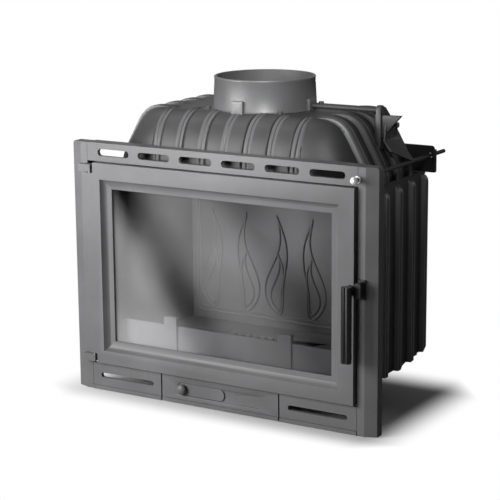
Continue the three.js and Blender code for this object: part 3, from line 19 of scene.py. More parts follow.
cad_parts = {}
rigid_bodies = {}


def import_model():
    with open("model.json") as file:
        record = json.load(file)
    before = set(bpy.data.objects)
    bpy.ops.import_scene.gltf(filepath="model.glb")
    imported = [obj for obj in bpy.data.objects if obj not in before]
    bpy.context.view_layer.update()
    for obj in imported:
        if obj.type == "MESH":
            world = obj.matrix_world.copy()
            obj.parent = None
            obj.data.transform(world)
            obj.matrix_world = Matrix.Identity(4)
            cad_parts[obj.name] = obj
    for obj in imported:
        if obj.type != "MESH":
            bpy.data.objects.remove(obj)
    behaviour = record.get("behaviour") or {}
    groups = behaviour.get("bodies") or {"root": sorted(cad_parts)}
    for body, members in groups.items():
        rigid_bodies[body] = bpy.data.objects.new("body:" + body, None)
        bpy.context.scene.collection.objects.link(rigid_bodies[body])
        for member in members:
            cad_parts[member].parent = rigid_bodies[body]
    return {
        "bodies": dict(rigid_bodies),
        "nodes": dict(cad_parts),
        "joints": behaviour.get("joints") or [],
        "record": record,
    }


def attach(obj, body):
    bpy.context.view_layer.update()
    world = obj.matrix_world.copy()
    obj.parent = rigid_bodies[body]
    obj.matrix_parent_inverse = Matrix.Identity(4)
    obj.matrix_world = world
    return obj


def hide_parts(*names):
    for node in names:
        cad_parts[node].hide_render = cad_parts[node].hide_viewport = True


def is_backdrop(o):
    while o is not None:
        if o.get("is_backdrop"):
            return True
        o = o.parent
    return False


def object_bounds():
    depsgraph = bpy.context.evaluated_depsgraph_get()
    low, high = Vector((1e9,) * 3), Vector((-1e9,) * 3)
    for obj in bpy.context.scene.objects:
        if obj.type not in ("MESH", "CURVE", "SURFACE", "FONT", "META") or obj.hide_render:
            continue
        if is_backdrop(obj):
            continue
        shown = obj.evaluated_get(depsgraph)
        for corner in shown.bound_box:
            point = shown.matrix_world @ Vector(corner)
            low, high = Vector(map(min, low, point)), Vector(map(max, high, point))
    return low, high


MM = 0.001
SETBACK = 0.177  # flue axis behind the surround's outer front edge
UPWARDS = (0, 0, 1)
FORWARDS = (0, -1, 0)
BACKWARDS = (0, 1, 0)
RIGHTWARDS = (1, 0, 0)
SWATHE_SLOPE = 0.655  # how far the glass's painted light and the painted shadow inside lean: metres of X for each metre of Z
SWATHE_LEVEL = 0.42  # height at which a swathe's place is its X
WHITE = (1.0, 1.0, 1.0, 1.0)

log = logging.getLogger("fireplace_insert")


class Side(Enum):
    """The two sides of the insert, as signs of X."""

    LEFT = -1
    RIGHT = 1


class Body(Enum):
    """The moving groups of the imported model."""

    STOVE = "stove"
    DOOR = "door"
    HANDLE = "handle"
    DRAWER = "ash_drawer"
    AIR = "air_control"
    DAMPER = "damper"
    PULL = "damper_pull"


# ------------------------------------------------------------------------------------------ shader maths
class Sock:
    """A shader socket with operators: an expression on values adds the Math nodes it needs."""

    def __init__(self, graph: "Graph", socket: bpy.types.NodeSocket) -> None:
        """Keep the graph that the socket belongs to."""
        self.graph = graph
        self.socket = socket

    def _math(self, operation: str, *others: "Sock | float") -> "Sock":
        """Add one Math node.

        Args:
            operation: the node's operation.
            others: its second and third operands.

        Returns:
            The node's value.
        """
        inputs = {0: self}
        inputs.update({i + 1: other for i, other in enumerate(others)})
        return self.graph.node("ShaderNodeMath", {"operation": operation}, inputs)

    def __add__(self, other: "Sock | float") -> "Sock":
        """Sum."""
        return self._math("ADD", other)

    __radd__ = __add__

    def __mul__(self, other: "Sock | float") -> "Sock":
        """Product."""
        return self._math("MULTIPLY", other)

    __rmul__ = __mul__

    def __sub__(self, other: "Sock | float") -> "Sock":
        """Difference."""
        return self._math("SUBTRACT", other)

    def __rsub__(self, other: float) -> "Sock":
        """Difference with a number on the left."""
        return self._math("MULTIPLY", -1.0) + other

    def __pow__(self, other: "Sock | float") -> "Sock":
        """Power."""
        return self._math("POWER", other)

    def clamp(self) -> "Sock":
        """Keep the value between 0 and 1."""
        return self.graph.node("ShaderNodeClamp", {}, {0: self})

    def band(self, low: float, high: float) -> "Sock":
        """Map a range to 0..1 with soft ends.

        Args:
            low: value that becomes 0.
            high: value that becomes 1; below low, the slope runs down.

        Returns:
            The eased value.
        """
        return self.graph.node(
            "ShaderNodeMapRange",
            {"interpolation_type": "SMOOTHSTEP"},
            {"Value": self, "From Min": low, "From Max": high},
        )


class Graph:
    """The node tree of one material or of the world."""

    def __init__(self, tree: bpy.types.NodeTree) -> None:
        """Empty the tree."""
        self.tree = tree
        tree.nodes.clear()

    def node(self, kind: str, settings: dict | None = None, inputs: dict | None = None,
             output: int | str = 0) -> Sock:
        """Add one node.

        Args:
            kind: the node's type.
            settings: attributes of the node, such as a Math node's operation, set first.
            inputs: values or sockets by input name or index.
            output: which output to return.

        Returns:
            The chosen output as a Sock.
        """
        made = self.tree.nodes.new(kind)
        for key, value in (settings or {}).items():
            setattr(made, key, value)
        for key, value in (inputs or {}).items():
            if isinstance(value, Sock):
                self.tree.links.new(value.socket, made.inputs[key])
            else:
                made.inputs[key].default_value = value
        return Sock(self, made.outputs[output])

    def place(self) -> Sock:
        """Object coordinates."""
        return self.node("ShaderNodeTexCoord", output="Object")

    def axis(self, name: str) -> Sock:
        """One of the object coordinates, X, Y or Z, as a value."""
        return self.node("ShaderNodeSeparateXYZ", {}, {0: self.place()}, output=name)

    def stretched(self, scale: tuple[float, float, float]) -> Sock:
        """Object coordinates times a scale for each axis."""
        return self.node("ShaderNodeMapping", {}, {"Vector": self.place(), "Scale": scale})

    def noise(self, scale: float, detail: float = 2.0, rough: float = 0.5,
              vector: Sock | None = None) -> Sock:
        """Noise as a value around 0.5; scale is in cycles for each metre."""
        inputs = {"Vector": vector or self.place(), "Scale": scale, "Detail": detail, "Roughness": rough}
        return self.node("ShaderNodeTexNoise", {}, inputs)

    def swathe(self, cloud: Sock, wobble: float) -> Sock:
        """Place across the slanting swathes: x plus slope times height, pushed about by the cloud."""
        return self.axis("X") + (self.axis("Z") - SWATHE_LEVEL) * SWATHE_SLOPE + (cloud - 0.5) * wobble

    def grey(self, value: Sock, dark: "tuple | Sock", light: "tuple | Sock") -> Sock:
        """Mix two colours.

        Args:
            value: 0 gives dark, 1 gives light.
            dark: a colour or a socket.
            light: a colour or a socket.

        Returns:
            The mixed colour.
        """
        ends = [end if isinstance(end, Sock) else (*end, 1.0) for end in (dark, light)]
        inputs = {0: value, 6: ends[0], 7: ends[1]}
        return self.node("ShaderNodeMix", {"data_type": "RGBA"}, inputs, output=2)

    def bump(self, height: Sock, strength: float, distance: float) -> Sock:
        """A normal bent by a height."""
        inputs = {"Height": height, "Strength": strength, "Distance": distance}
        return self.node("ShaderNodeBump", {}, inputs)

    def finish(self, surface: Sock, kind: str = "ShaderNodeOutputMaterial") -> None:
        """Lead a shader to the output."""
        out = self.tree.nodes.new(kind)
        self.tree.links.new(surface.socket, out.inputs["Surface"])


def cool_grey(value: float) -> tuple[float, float, float]:
    """Grey with a trace more blue, as graphite has."""
    return (value, value, value * 1.03)


def even_grey(value: float) -> tuple[float, float, float]:
    """Grey of three equal channels."""
    return (value, value, value)


def new_material(name: str) -> tuple[bpy.types.Material, Graph]:
    """Make a node material.

    Args:
        name: the material's name.

    Returns:
        The material and its empty graph.
    """
    material = bpy.data.materials.new(name)
    material.use_nodes = True
    return material, Graph(material.node_tree)


# ------------------------------------------------------------------------------------------ finishes
@dataclass(frozen=True)
class CastIron:
    """Sand-cast iron under a graphite coat: fine grain, soft clouds of tone, dull sheen."""

    name: str
    dark: float = 0.05
    light: float = 0.085
    rough: float = 0.46
    grain: float = 0.00016
    sheen: float = 0.55
    # Tones of the painted highlight on edges and of the painted shade in channels and valleys.
    rubbed: float = 0.0
    grime: float = 0.008

    def build(self) -> bpy.types.Material:
        """Make the material. Tone is slow noise; bump is sand grain plus slight casting waves.

        Where a highlight tone is set above 0, a mesh attribute paints light into the tone: near 1 a painted
        highlight on ridge edges and beads, below 0 a painted shade in channels and valleys.

        Returns:
            The material.
        """
        material, g = new_material(self.name)
        cloud = g.noise(9.0, 3.0, 0.55)
        speckle = g.noise(620.0, 2.0, 0.6)
        tone = (cloud * 0.65 + speckle * 0.35).band(0.3, 0.7)
        colour = g.grey(tone, cool_grey(self.dark), cool_grey(self.light))
        # Painted light: a highlight tone on ridge edges and beads, a painted shade in channels and valleys.
        if self.rubbed > 0.0:
            wear = g.node("ShaderNodeAttribute", {"attribute_name": "wear"}, output="Fac")
            bright = (wear * (speckle * 0.8 + 0.6)).clamp()
            colour = g.grey(bright, colour, cool_grey(self.rubbed))
            colour = g.grey((wear * -1.0).clamp(), colour, even_grey(self.grime))
        sand = g.noise(950.0, 2.0, 0.65)
        pits = g.noise(260.0, 1.0, 0.5)
        height = sand * 0.6 + pits * 0.5 + g.noise(38.0, 1.0) * 0.9
        rough = (cloud - 0.5) * 0.16 + (speckle - 0.5) * 0.12 + self.rough
        surface = g.node("ShaderNodeBsdfPrincipled", {}, {
            "Base Color": colour, "Roughness": rough.clamp(), "Metallic": 0.0, "IOR": 1.5,
            "Specular IOR Level": self.sheen, "Normal": g.bump(height, 0.55, self.grain),
        })
        g.finish(surface)
        return material


@dataclass(frozen=True)
class Lining:
    """Bare iron in the firebox, sooty towards the top, and if asked painted shadow beyond a slanting line.
    """

    name: str
    dark: float = 0.05
    light: float = 0.1
    soot_from: float = 0.25
    soot_to: float = 0.46
    soot: float = 0.6
    # Painted shadow beyond a slanting line: where it starts and ends, its strength and its tone.
    slant_from: float = -0.27
    slant_to: float = -0.15
    slant_soot: float = 0.0
    soot_tone: float = 0.006

    def build(self) -> bpy.types.Material:
        """Make the material. Soot darkens the tone with height, and a painted shadow darkens it across the
        swathes, both broken by noise.

        Returns:
            The material.
        """
        material, g = new_material(self.name)
        cloud = g.noise(11.0, 4.0, 0.6)
        soot = (g.axis("Z") + (cloud - 0.5) * 0.12).band(self.soot_from, self.soot_to) * self.soot
        tone = ((cloud * 0.7 + g.noise(480.0) * 0.3).band(0.3, 0.7)) * (1.0 - soot)
        colour = g.grey(tone, even_grey(self.dark), even_grey(self.light))
        if self.slant_soot > 0.0:
            # Painted shadow: darker beyond a slanting line.
            cover = g.swathe(cloud, 0.08).band(self.slant_from, self.slant_to) * self.slant_soot
            colour = g.grey(cover, colour, even_grey(self.soot_tone))
        height = g.noise(700.0, 2.0, 0.6) * 0.7 + g.noise(60.0) * 0.8
        surface = g.node("ShaderNodeBsdfPrincipled", {}, {
            "Base Color": colour, "Roughness": (cloud * 0.2 + 0.5).clamp(), "IOR": 1.5,
            "Normal": g.bump(height, 0.5, 0.0002),
        })
        g.finish(surface)
        return material


@dataclass(frozen=True)
class Metal:
    """Plain worked metal with fine lines along one axis."""

    name: str
    tint: tuple[float, float, float] = (0.5, 0.5, 0.51)
    rough: float = 0.32
    lines: tuple[float, float, float] = (1.0, 1.0, 14.0)
    metallic: float = 1.0

    def build(self) -> bpy.types.Material:
        """Make the material. The lines are noise stretched across the working direction.

        Returns:
            The material.
        """
        material, g = new_material(self.name)
        streak = g.noise(160.0, 3.0, 0.6, g.stretched(self.lines))
        dim = tuple(0.82 * channel for channel in self.tint)
        surface = g.node("ShaderNodeBsdfPrincipled", {}, {
            "Base Color": g.grey(streak.band(0.3, 0.7), dim, self.tint), "Metallic": self.metallic,
            "Roughness": ((streak - 0.5) * 0.25 + self.rough).clamp(),
            "Normal": g.bump(streak, 0.12, 0.0001),
        })
        g.finish(surface)
        return material


@dataclass(frozen=True)
class BlackEnamel:
    """Heat-proof black paint with a slight orange peel."""

    name: str
    rough: float = 0.34

    def build(self) -> bpy.types.Material:
        """Make the material. Orange peel is low noise in the bump and the roughness.

        Returns:
            The material.
        """
        material, g = new_material(self.name)
        peel = g.noise(420.0, 1.0)
        surface = g.node("ShaderNodeBsdfPrincipled", {}, {
            "Base Color": g.grey(peel, (0.006, 0.006, 0.0065), (0.011, 0.011, 0.012)),
            "Roughness": ((peel - 0.5) * 0.1 + self.rough).clamp(),
            "Normal": g.bump(peel, 0.2, 0.0001),
        })
        g.finish(surface)
        return material


@dataclass(frozen=True)
class CeramicGlass:
    """Clear heat-proof pane under a faint pale film of painted light."""

    name: str
    # Strength of the painted light in each swathe and at the foot, and its tone.
    left_film: float = 0.11
    middle_film: float = 0.05
    right_film: float = 0.015
    foot_film: float = 0.06
    dust_tone: tuple[float, float, float, float] = (0.8, 0.8, 0.8, 1.0)
    clear_tone: tuple[float, float, float, float] = (0.8, 0.8, 0.81, 1.0)

    def build(self) -> bpy.types.Material:
        """Make the material. Fresnel mixes a mirror over a clear pane, under a thin pale film of painted
        light.

        The film lies in slanting swathes: its cover is a sum of soft steps across them.

        Returns:
            The material.
        """
        material, g = new_material(self.name)
        clear = g.node("ShaderNodeBsdfTransparent", {}, {"Color": self.clear_tone})
        pane_noise = g.noise(14.0, 3.0, 0.6)
        mirror = g.node("ShaderNodeBsdfPrincipled", {}, {
            "Base Color": (0.02, 0.02, 0.02, 1.0), "Roughness": (pane_noise * 0.04 + 0.02).clamp(),
            "Specular IOR Level": 1.0, "Metallic": 0.0,
        })
        edge = g.node("ShaderNodeFresnel", {}, {"IOR": 1.42})
        pane = g.node("ShaderNodeMixShader", {}, {0: (edge * 0.6).clamp(), 1: clear, 2: mirror})
        # Painted light: a pale matt film in slanting swathes, strongest on the left and at the lower left.
        slant = g.swathe(pane_noise, 0.03)
        left = slant.band(-0.225, -0.315) * self.left_film
        middle = slant.band(-0.215, -0.125) * slant.band(0.055, -0.09) * self.middle_film
        right = slant.band(0.06, 0.17) * self.right_film
        foot = g.axis("Z").band(0.2, 0.12) * g.axis("X").band(0.0, -0.2) * self.foot_film
        painted_light_sheet = g.node("ShaderNodeBsdfDiffuse", {}, {"Color": self.dust_tone})
        cover = ((left + middle + right + foot) * (pane_noise * 0.4 + 0.8)).clamp()
        g.finish(g.node("ShaderNodeMixShader", {}, {0: cover, 1: pane, 2: painted_light_sheet}))
        return material


@dataclass(frozen=True)
class SealRope:
    """Grey glass-fibre rope."""

    name: str

    def build(self) -> bpy.types.Material:
        """Make the material. Diagonal waves give the braid, fine noise its fibres.

        Returns:
            The material.
        """
        material, g = new_material(self.name)
        braid = g.node("ShaderNodeTexWave", {"bands_direction": "DIAGONAL"},
                       {"Vector": g.place(), "Scale": 160.0, "Distortion": 1.5}, output=1)
        fibre = g.noise(900.0, 2.0, 0.7)
        tone = (braid * 0.6 + fibre * 0.4).clamp()
        surface = g.node("ShaderNodeBsdfPrincipled", {}, {
            "Base Color": g.grey(tone, (0.12, 0.115, 0.11), (0.34, 0.33, 0.31)), "Roughness": 0.95,
            "Normal": g.bump(tone, 0.6, 0.0006),
        })
        g.finish(surface)
        return material


@dataclass
class Palette:
    """Every finish of the insert, made once."""

    coat: bpy.types.Material = field(init=False)
    hood: bpy.types.Material = field(init=False)
    collar: bpy.types.Material = field(init=False)
    side: bpy.types.Material = field(init=False)
    dark: bpy.types.Material = field(init=False)
    lining: bpy.types.Material = field(init=False)
    fireback: bpy.types.Material = field(init=False)
    pale_lining: bpy.types.Material = field(init=False)
    steel: bpy.types.Material = field(init=False)
    sheet: bpy.types.Material = field(init=False)
    nickel: bpy.types.Material = field(init=False)
    enamel: bpy.types.Material = field(init=False)
    glass: bpy.types.Material = field(init=False)
    rope: bpy.types.Material = field(init=False)

    def __post_init__(self) -> None:
        """Make the materials."""
        self.coat = CastIron("graphite_front", 0.088, 0.118, 0.48, sheen=0.35).build()
        # A darker copy of the front's cast iron for the hood and the damper's rods: painted shade.
        self.hood = CastIron("graphite_hood", 0.024, 0.04, 0.46, 0.0002, 0.28, 0.17).build()
        self.collar = CastIron("graphite_collar", 0.05, 0.07, 0.44, 0.0002).build()
        # A darker copy for the side walls and the inner plates, which face away from the lamps: painted
        # shade.
        self.side = CastIron("graphite_side", 0.036, 0.06, 0.4, 0.0002, rubbed=0.5).build()
        # A near-black copy for the flange, lug, crank, driver and collar bolts: painted shade.
        self.dark = CastIron("graphite_dark", 0.022, 0.036, 0.42, 0.0002).build()
        self.lining = Lining("bare_lining", 0.04, 0.065).build()
        # Soot towards the top, and a painted shadow beyond a slanting line.
        self.fireback = Lining("sooty_fireback", 0.055, 0.085, slant_soot=0.9).build()
        # The retainer is a much paler copy of the bare lining: painted light, with a painted shadow beyond a
        # slanting line.
        self.pale_lining = Lining("bare_retainer", 0.5, 0.6, 0.25, 0.46, 0.0, -0.42, -0.08, 0.75).build()
        self.steel = Metal("turned_steel", (0.42, 0.42, 0.43), 0.36).build()
        self.sheet = Metal("pressed_sheet", (0.4, 0.4, 0.41), 0.42, (14.0, 1.0, 1.0)).build()
        self.nickel = Metal("bright_nickel", (0.95, 0.95, 0.96), 0.24, (1.0, 1.0, 1.0), 0.45).build()
        self.enamel = BlackEnamel("black_enamel").build()
        self.glass = CeramicGlass("stove_glass").build()
        self.rope = SealRope("seal_rope").build()


# ------------------------------------------------------------------------------------------ mesh tools
WELD = 2e-6  # points closer than this are one
SMOOTH_BELOW = math.radians(42)


class Draft:
    """Collects grids of points and turns them into one mesh."""

    def __init__(self) -> None:
        """Start empty."""
        self.points: list[np.ndarray] = []
        self.faces: list[np.ndarray] = []
        self.wear: list[np.ndarray] = []
        self.count = 0

    def grid(self, points: np.ndarray, wrap_u: bool = False, wrap_v: bool = False,
             wear: np.ndarray | None = None) -> "Draft":
        """Add a surface sampled on a grid.

        Args:
            points: array of shape (u, v, 3).
            wrap_u: join the last row to the first.
            wrap_v: join the last column to the first.
            wear: (u, v) values of painted highlight above 0 and painted shade below 0; none gives 0.

        Returns:
            The draft itself.
        """
        nu, nv = points.shape[:2]
        u = np.arange(nu if wrap_u else nu - 1)[:, None]
        v = np.arange(nv if wrap_v else nv - 1)[None, :]
        u1, v1 = (u + 1) % nu, (v + 1) % nv
        quads = np.stack(np.broadcast_arrays(u * nv + v, u1 * nv + v, u1 * nv + v1, u * nv + v1), -1)
        self.points.append(points.reshape(-1, 3))
        self.wear.append(np.zeros(nu * nv) if wear is None else wear.ravel())
        self.faces.append(quads.reshape(-1, 4) + self.count)
        self.count += nu * nv
        return self

    def build(self, name: str, outward: bool = True) -> bpy.types.Object:
        """Weld the grids and make the object.

        Args:
            name: the object's name.
            outward: recalculate the normals of the closed shells.

        Returns:
            The new object at the origin.
        """
        points = np.concatenate(self.points)
        faces = np.concatenate(self.faces)
        mesh = bpy.data.meshes.new(name)
        mesh.vertices.add(len(points))
        mesh.vertices.foreach_set("co", points.ravel())
        mesh.loops.add(faces.size)
        mesh.loops.foreach_set("vertex_index", faces.ravel().astype(np.int32))
        mesh.polygons.add(len(faces))
        mesh.polygons.foreach_set("loop_start", np.arange(0, faces.size, 4, dtype=np.int32))
        mesh.update(calc_edges=True)
        # Painted highlight and painted shade for the cast-iron materials, stored on the points.
        painted_light_layer = mesh.attributes.new("wear", "FLOAT", "POINT")
        painted_light_layer.data.foreach_set("value", np.concatenate(self.wear).astype(np.float32))
        work = bmesh.new()
        work.from_mesh(mesh)
        bmesh.ops.remove_doubles(work, verts=work.verts, dist=WELD)
        bmesh.ops.dissolve_degenerate(work, edges=work.edges, dist=WELD / 2)
        if outward:
            bmesh.ops.recalc_face_normals(work, faces=work.faces)
        work.to_mesh(mesh)
        work.free()
        mesh.shade_smooth()
        mesh.set_sharp_from_angle(angle=SMOOTH_BELOW)
        made = bpy.data.objects.new(name, mesh)
        bpy.context.scene.collection.objects.link(made)
        return made


def smooth(value: np.ndarray) -> np.ndarray:
    """Cubic easing of a value that runs from 0 to 1."""
    held = np.clip(value, 0.0, 1.0)
    return held * held * (3.0 - 2.0 * held)


def bulge(distance: np.ndarray, half_width: float, edge: float) -> np.ndarray:
    """1 within half_width of a line, falling softly to 0 over the next edge of distance."""
    return 1.0 - smooth((np.abs(distance) - half_width) / edge)


def rounded_rectangle(half: tuple[float, float], radius: float, steps: int = 6) -> np.ndarray:
    """Outline of a rectangle with round corners, counter-clockwise, around the origin.

    Each corner is a quarter circle about a centre that lies one radius inside both sides.

    Args:
        half: half the width and half the height.
        radius: of the corners.
        steps: parts of each quarter circle.

    Returns:
        Outline of shape (n, 2).
    """
    turn = np.linspace(0.0, np.pi / 2, steps + 1)
    corners = []
    for k, (sx, sy) in enumerate(((1, 1), (-1, 1), (-1, -1), (1, -1))):
        angle = turn + k * np.pi / 2
        centre = np.array([sx * (half[0] - radius), sy * (half[1] - radius)])
        corners.append(centre + radius * np.stack([np.cos(angle), np.sin(angle)], -1))
    return np.concatenate(corners)


def shrink(outline: np.ndarray, inset: float) -> np.ndarray:
    """Move a closed convex outline inwards, along the mean normal at each point.

    Args:
        outline: (n, 2) points, counter-clockwise.
        inset: distance between the old sides and the new ones.

    Returns:
        Outline of the same shape.
    """
    ahead = np.roll(outline, -1, 0) - outline
    ahead /= np.maximum(np.linalg.norm(ahead, axis=1, keepdims=True), 1e-9)
    behind = np.roll(ahead, 1, 0)
    normal = np.stack([ahead[:, 1] + behind[:, 1], -ahead[:, 0] - behind[:, 0]], -1)
    normal /= np.maximum(np.linalg.norm(normal, axis=1, keepdims=True), 1e-9)
    half = np.clip(np.sum(normal * np.stack([ahead[:, 1], -ahead[:, 0]], -1), 1, keepdims=True), 0.5, 1.0)
    return outline - normal * inset / half


def pillow(outline: np.ndarray, depth: float, edge: float, steps: int = 3) -> np.ndarray:
    """A flat piece with rounded edges: rings of the outline, shrunk along a quarter circle at its faces.

    Args:
        outline: (n, 2) convex outline.
        depth: full thickness; the piece runs from 0 to depth along the third axis.
        edge: radius of the rounding.
        steps: rings in each rounding.

    Returns:
        Grid of shape (rings, n, 3), closed by a point at the middle of each face.
    """
    angle = np.linspace(np.pi / 2, 0.0, steps + 1)
    rings = [(edge * (1 - np.cos(a)), edge * (1 - np.sin(a))) for a in angle]
    far = [(i, depth - h) for i, h in reversed(rings)]
    layers = [np.column_stack([shrink(outline, i), np.full(len(outline), h)]) for i, h in rings + far]
    middle = outline.mean(0)
    caps = [np.tile([*middle, h], (len(outline), 1)) for h in (0.0, depth)]
    return np.stack([caps[0], *layers, caps[1]])


def turned(profile: Sequence[tuple[float, float]], sides: int = 64) -> np.ndarray:
    """Surface of revolution about the third axis.

    Args:
        profile: radius and height of each point.
        sides: points of each ring.

    Returns:
        Grid of shape (points, sides, 3).
    """
    ring = np.array(profile)
    angle = np.linspace(0.0, 2 * np.pi, sides, endpoint=False)[None, :]
    return np.stack([ring[:, :1] * np.cos(angle), ring[:, :1] * np.sin(angle),
                     np.broadcast_to(ring[:, 1:], (len(ring), sides))], -1)


def carried(points: np.ndarray, third: Sequence[float], second: Sequence[float],
            origin: Sequence[float]) -> np.ndarray:
    """Lay local points into space: a sum of three axes, each times its local coordinate.

    Args:
        points: (..., 3) local points.
        third: where the third local axis points.
        second: where the second local axis points.
        origin: where the local origin goes.

    Returns:
        Points of the same shape.
    """
    w = np.array(third, float)
    v = np.array(second, float)
    u = np.cross(v, w)
    return np.array(origin) + points[..., :1] * u + points[..., 1:2] * v + points[..., 2:3] * w


def ribbon(path: np.ndarray, normal: Sequence[float], half: float, height: float) -> np.ndarray:
    """A raised round line, half sunk in a flat plate: an ellipse carried along a closed path.

    Args:
        path: (n, 3) points on the plate's face.
        normal: of the plate.
        half: half the line's width.
        height: how far it stands out.

    Returns:
        Grid of shape (n, 12, 3).
    """
    ahead = np.roll(path, -1, 0) - np.roll(path, 1, 0)
    ahead /= np.maximum(np.linalg.norm(ahead, axis=1, keepdims=True), 1e-9)
    up = np.array(normal, float)
    across = np.cross(ahead, up)
    angle = np.linspace(0.0, 2 * np.pi, 12, endpoint=False)
    offsets = half * np.cos(angle)[None, :, None] * across[:, None, :]
    rise = height * np.sin(angle)[None, :, None] * up
    return path[:, None, :] + offsets + rise


# ------------------------------------------------------------------------------------------ dressing
@dataclass
class Dresser:
    """Puts finishes on nodes and makes softened copies of castings."""

    frame: dict
    palette: Palette
    weld: float = 2e-5
    flat_below: float = math.radians(1.5)
    edge_above: float = math.radians(38)

    def paint(self, material: bpy.types.Material, *nodes: str) -> None:
        """Give nodes that keep their CAD shape a material.

        Args:
            material: the finish.
            nodes: names of the CAD nodes.
        """
        for node in nodes:
            slots = self.frame["nodes"][node].material_slots
            for slot in slots:
                slot.material = material
            log.info("dressed %s with %s", node, material.name)

    def soften(self, node: str, body: Body, slot: str, material: bpy.types.Material, edge: float) -> None:
        """Stand a copy of a casting in for its node, with flat faces joined and edges rounded.

        Args:
            node: the CAD node.
            body: the moving group that it rides on.
            slot: the record's material slot.
            material: its finish.
            edge: edge radius in millimetres.
        """
        source = self.frame["nodes"][node]
        work = bmesh.new()
        work.from_mesh(source.data)
        bmesh.ops.remove_doubles(work, verts=work.verts, dist=self.weld)
        bmesh.ops.dissolve_limit(work, angle_limit=self.flat_below, verts=work.verts, edges=work.edges)
        mesh = bpy.data.meshes.new(node + "_cast")
        work.to_mesh(mesh)
        work.free()
        copy = bpy.data.objects.new(node + "_cast", mesh)
        bpy.context.scene.collection.objects.link(copy)
        bevel = copy.modifiers.new("edge", "BEVEL")
        bevel.width = edge * MM
        bevel.segments = 2
        bevel.limit_method = "ANGLE"
        bevel.angle_limit = self.edge_above
        bevel.harden_normals = True
        bevel.use_clamp_overlap = True
        mesh.shade_smooth()
        mesh.set_sharp_from_angle(angle=self.edge_above)
        self.place(copy, body, slot, material, node)

    def place(self, piece: bpy.types.Object, body: Body, slot: str, material: bpy.types.Material,
              *nodes: str) -> None:
        """Ride a piece on its body, give it its finish, and hide the nodes it stands for.

        Args:
            piece: the new piece.
            body: the moving group that it rides on.
            slot: the record's material slot; not used.
            material: its finish.
            nodes: the CAD nodes that it replaces.
        """
        piece.data.materials.clear()
        piece.data.materials.append(material)
        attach(piece, body.value)
        if nodes:
            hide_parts(*nodes)
        log.info("placed %s on %s", piece.name, body.value)


# ------------------------------------------------------------------------------------------ smoke hood
@dataclass(frozen=True)
class HoodSamples:
    """How closely the hood's shell is sampled: counts, and extra points near edges."""

    level: int = 14
    corner: int = 22
    plain_corner: int = 18
    side: int = 44
    face: int = 48
    back: int = 30
    top: int = 18
    beyond_groove: tuple[float, ...] = (0.012, 0.02, 0.028, 0.036, 0.045, 0.055)
    rib_steps: tuple[float, ...] = (-0.0022, -0.0012, -0.0002, 0.0008, 0.0018, 0.0034)
    groove_steps: tuple[float, ...] = (0.0, 0.0018, 0.003, 0.0042, 0.0054, 0.0066, 0.0085)
    ends: float = 0.001


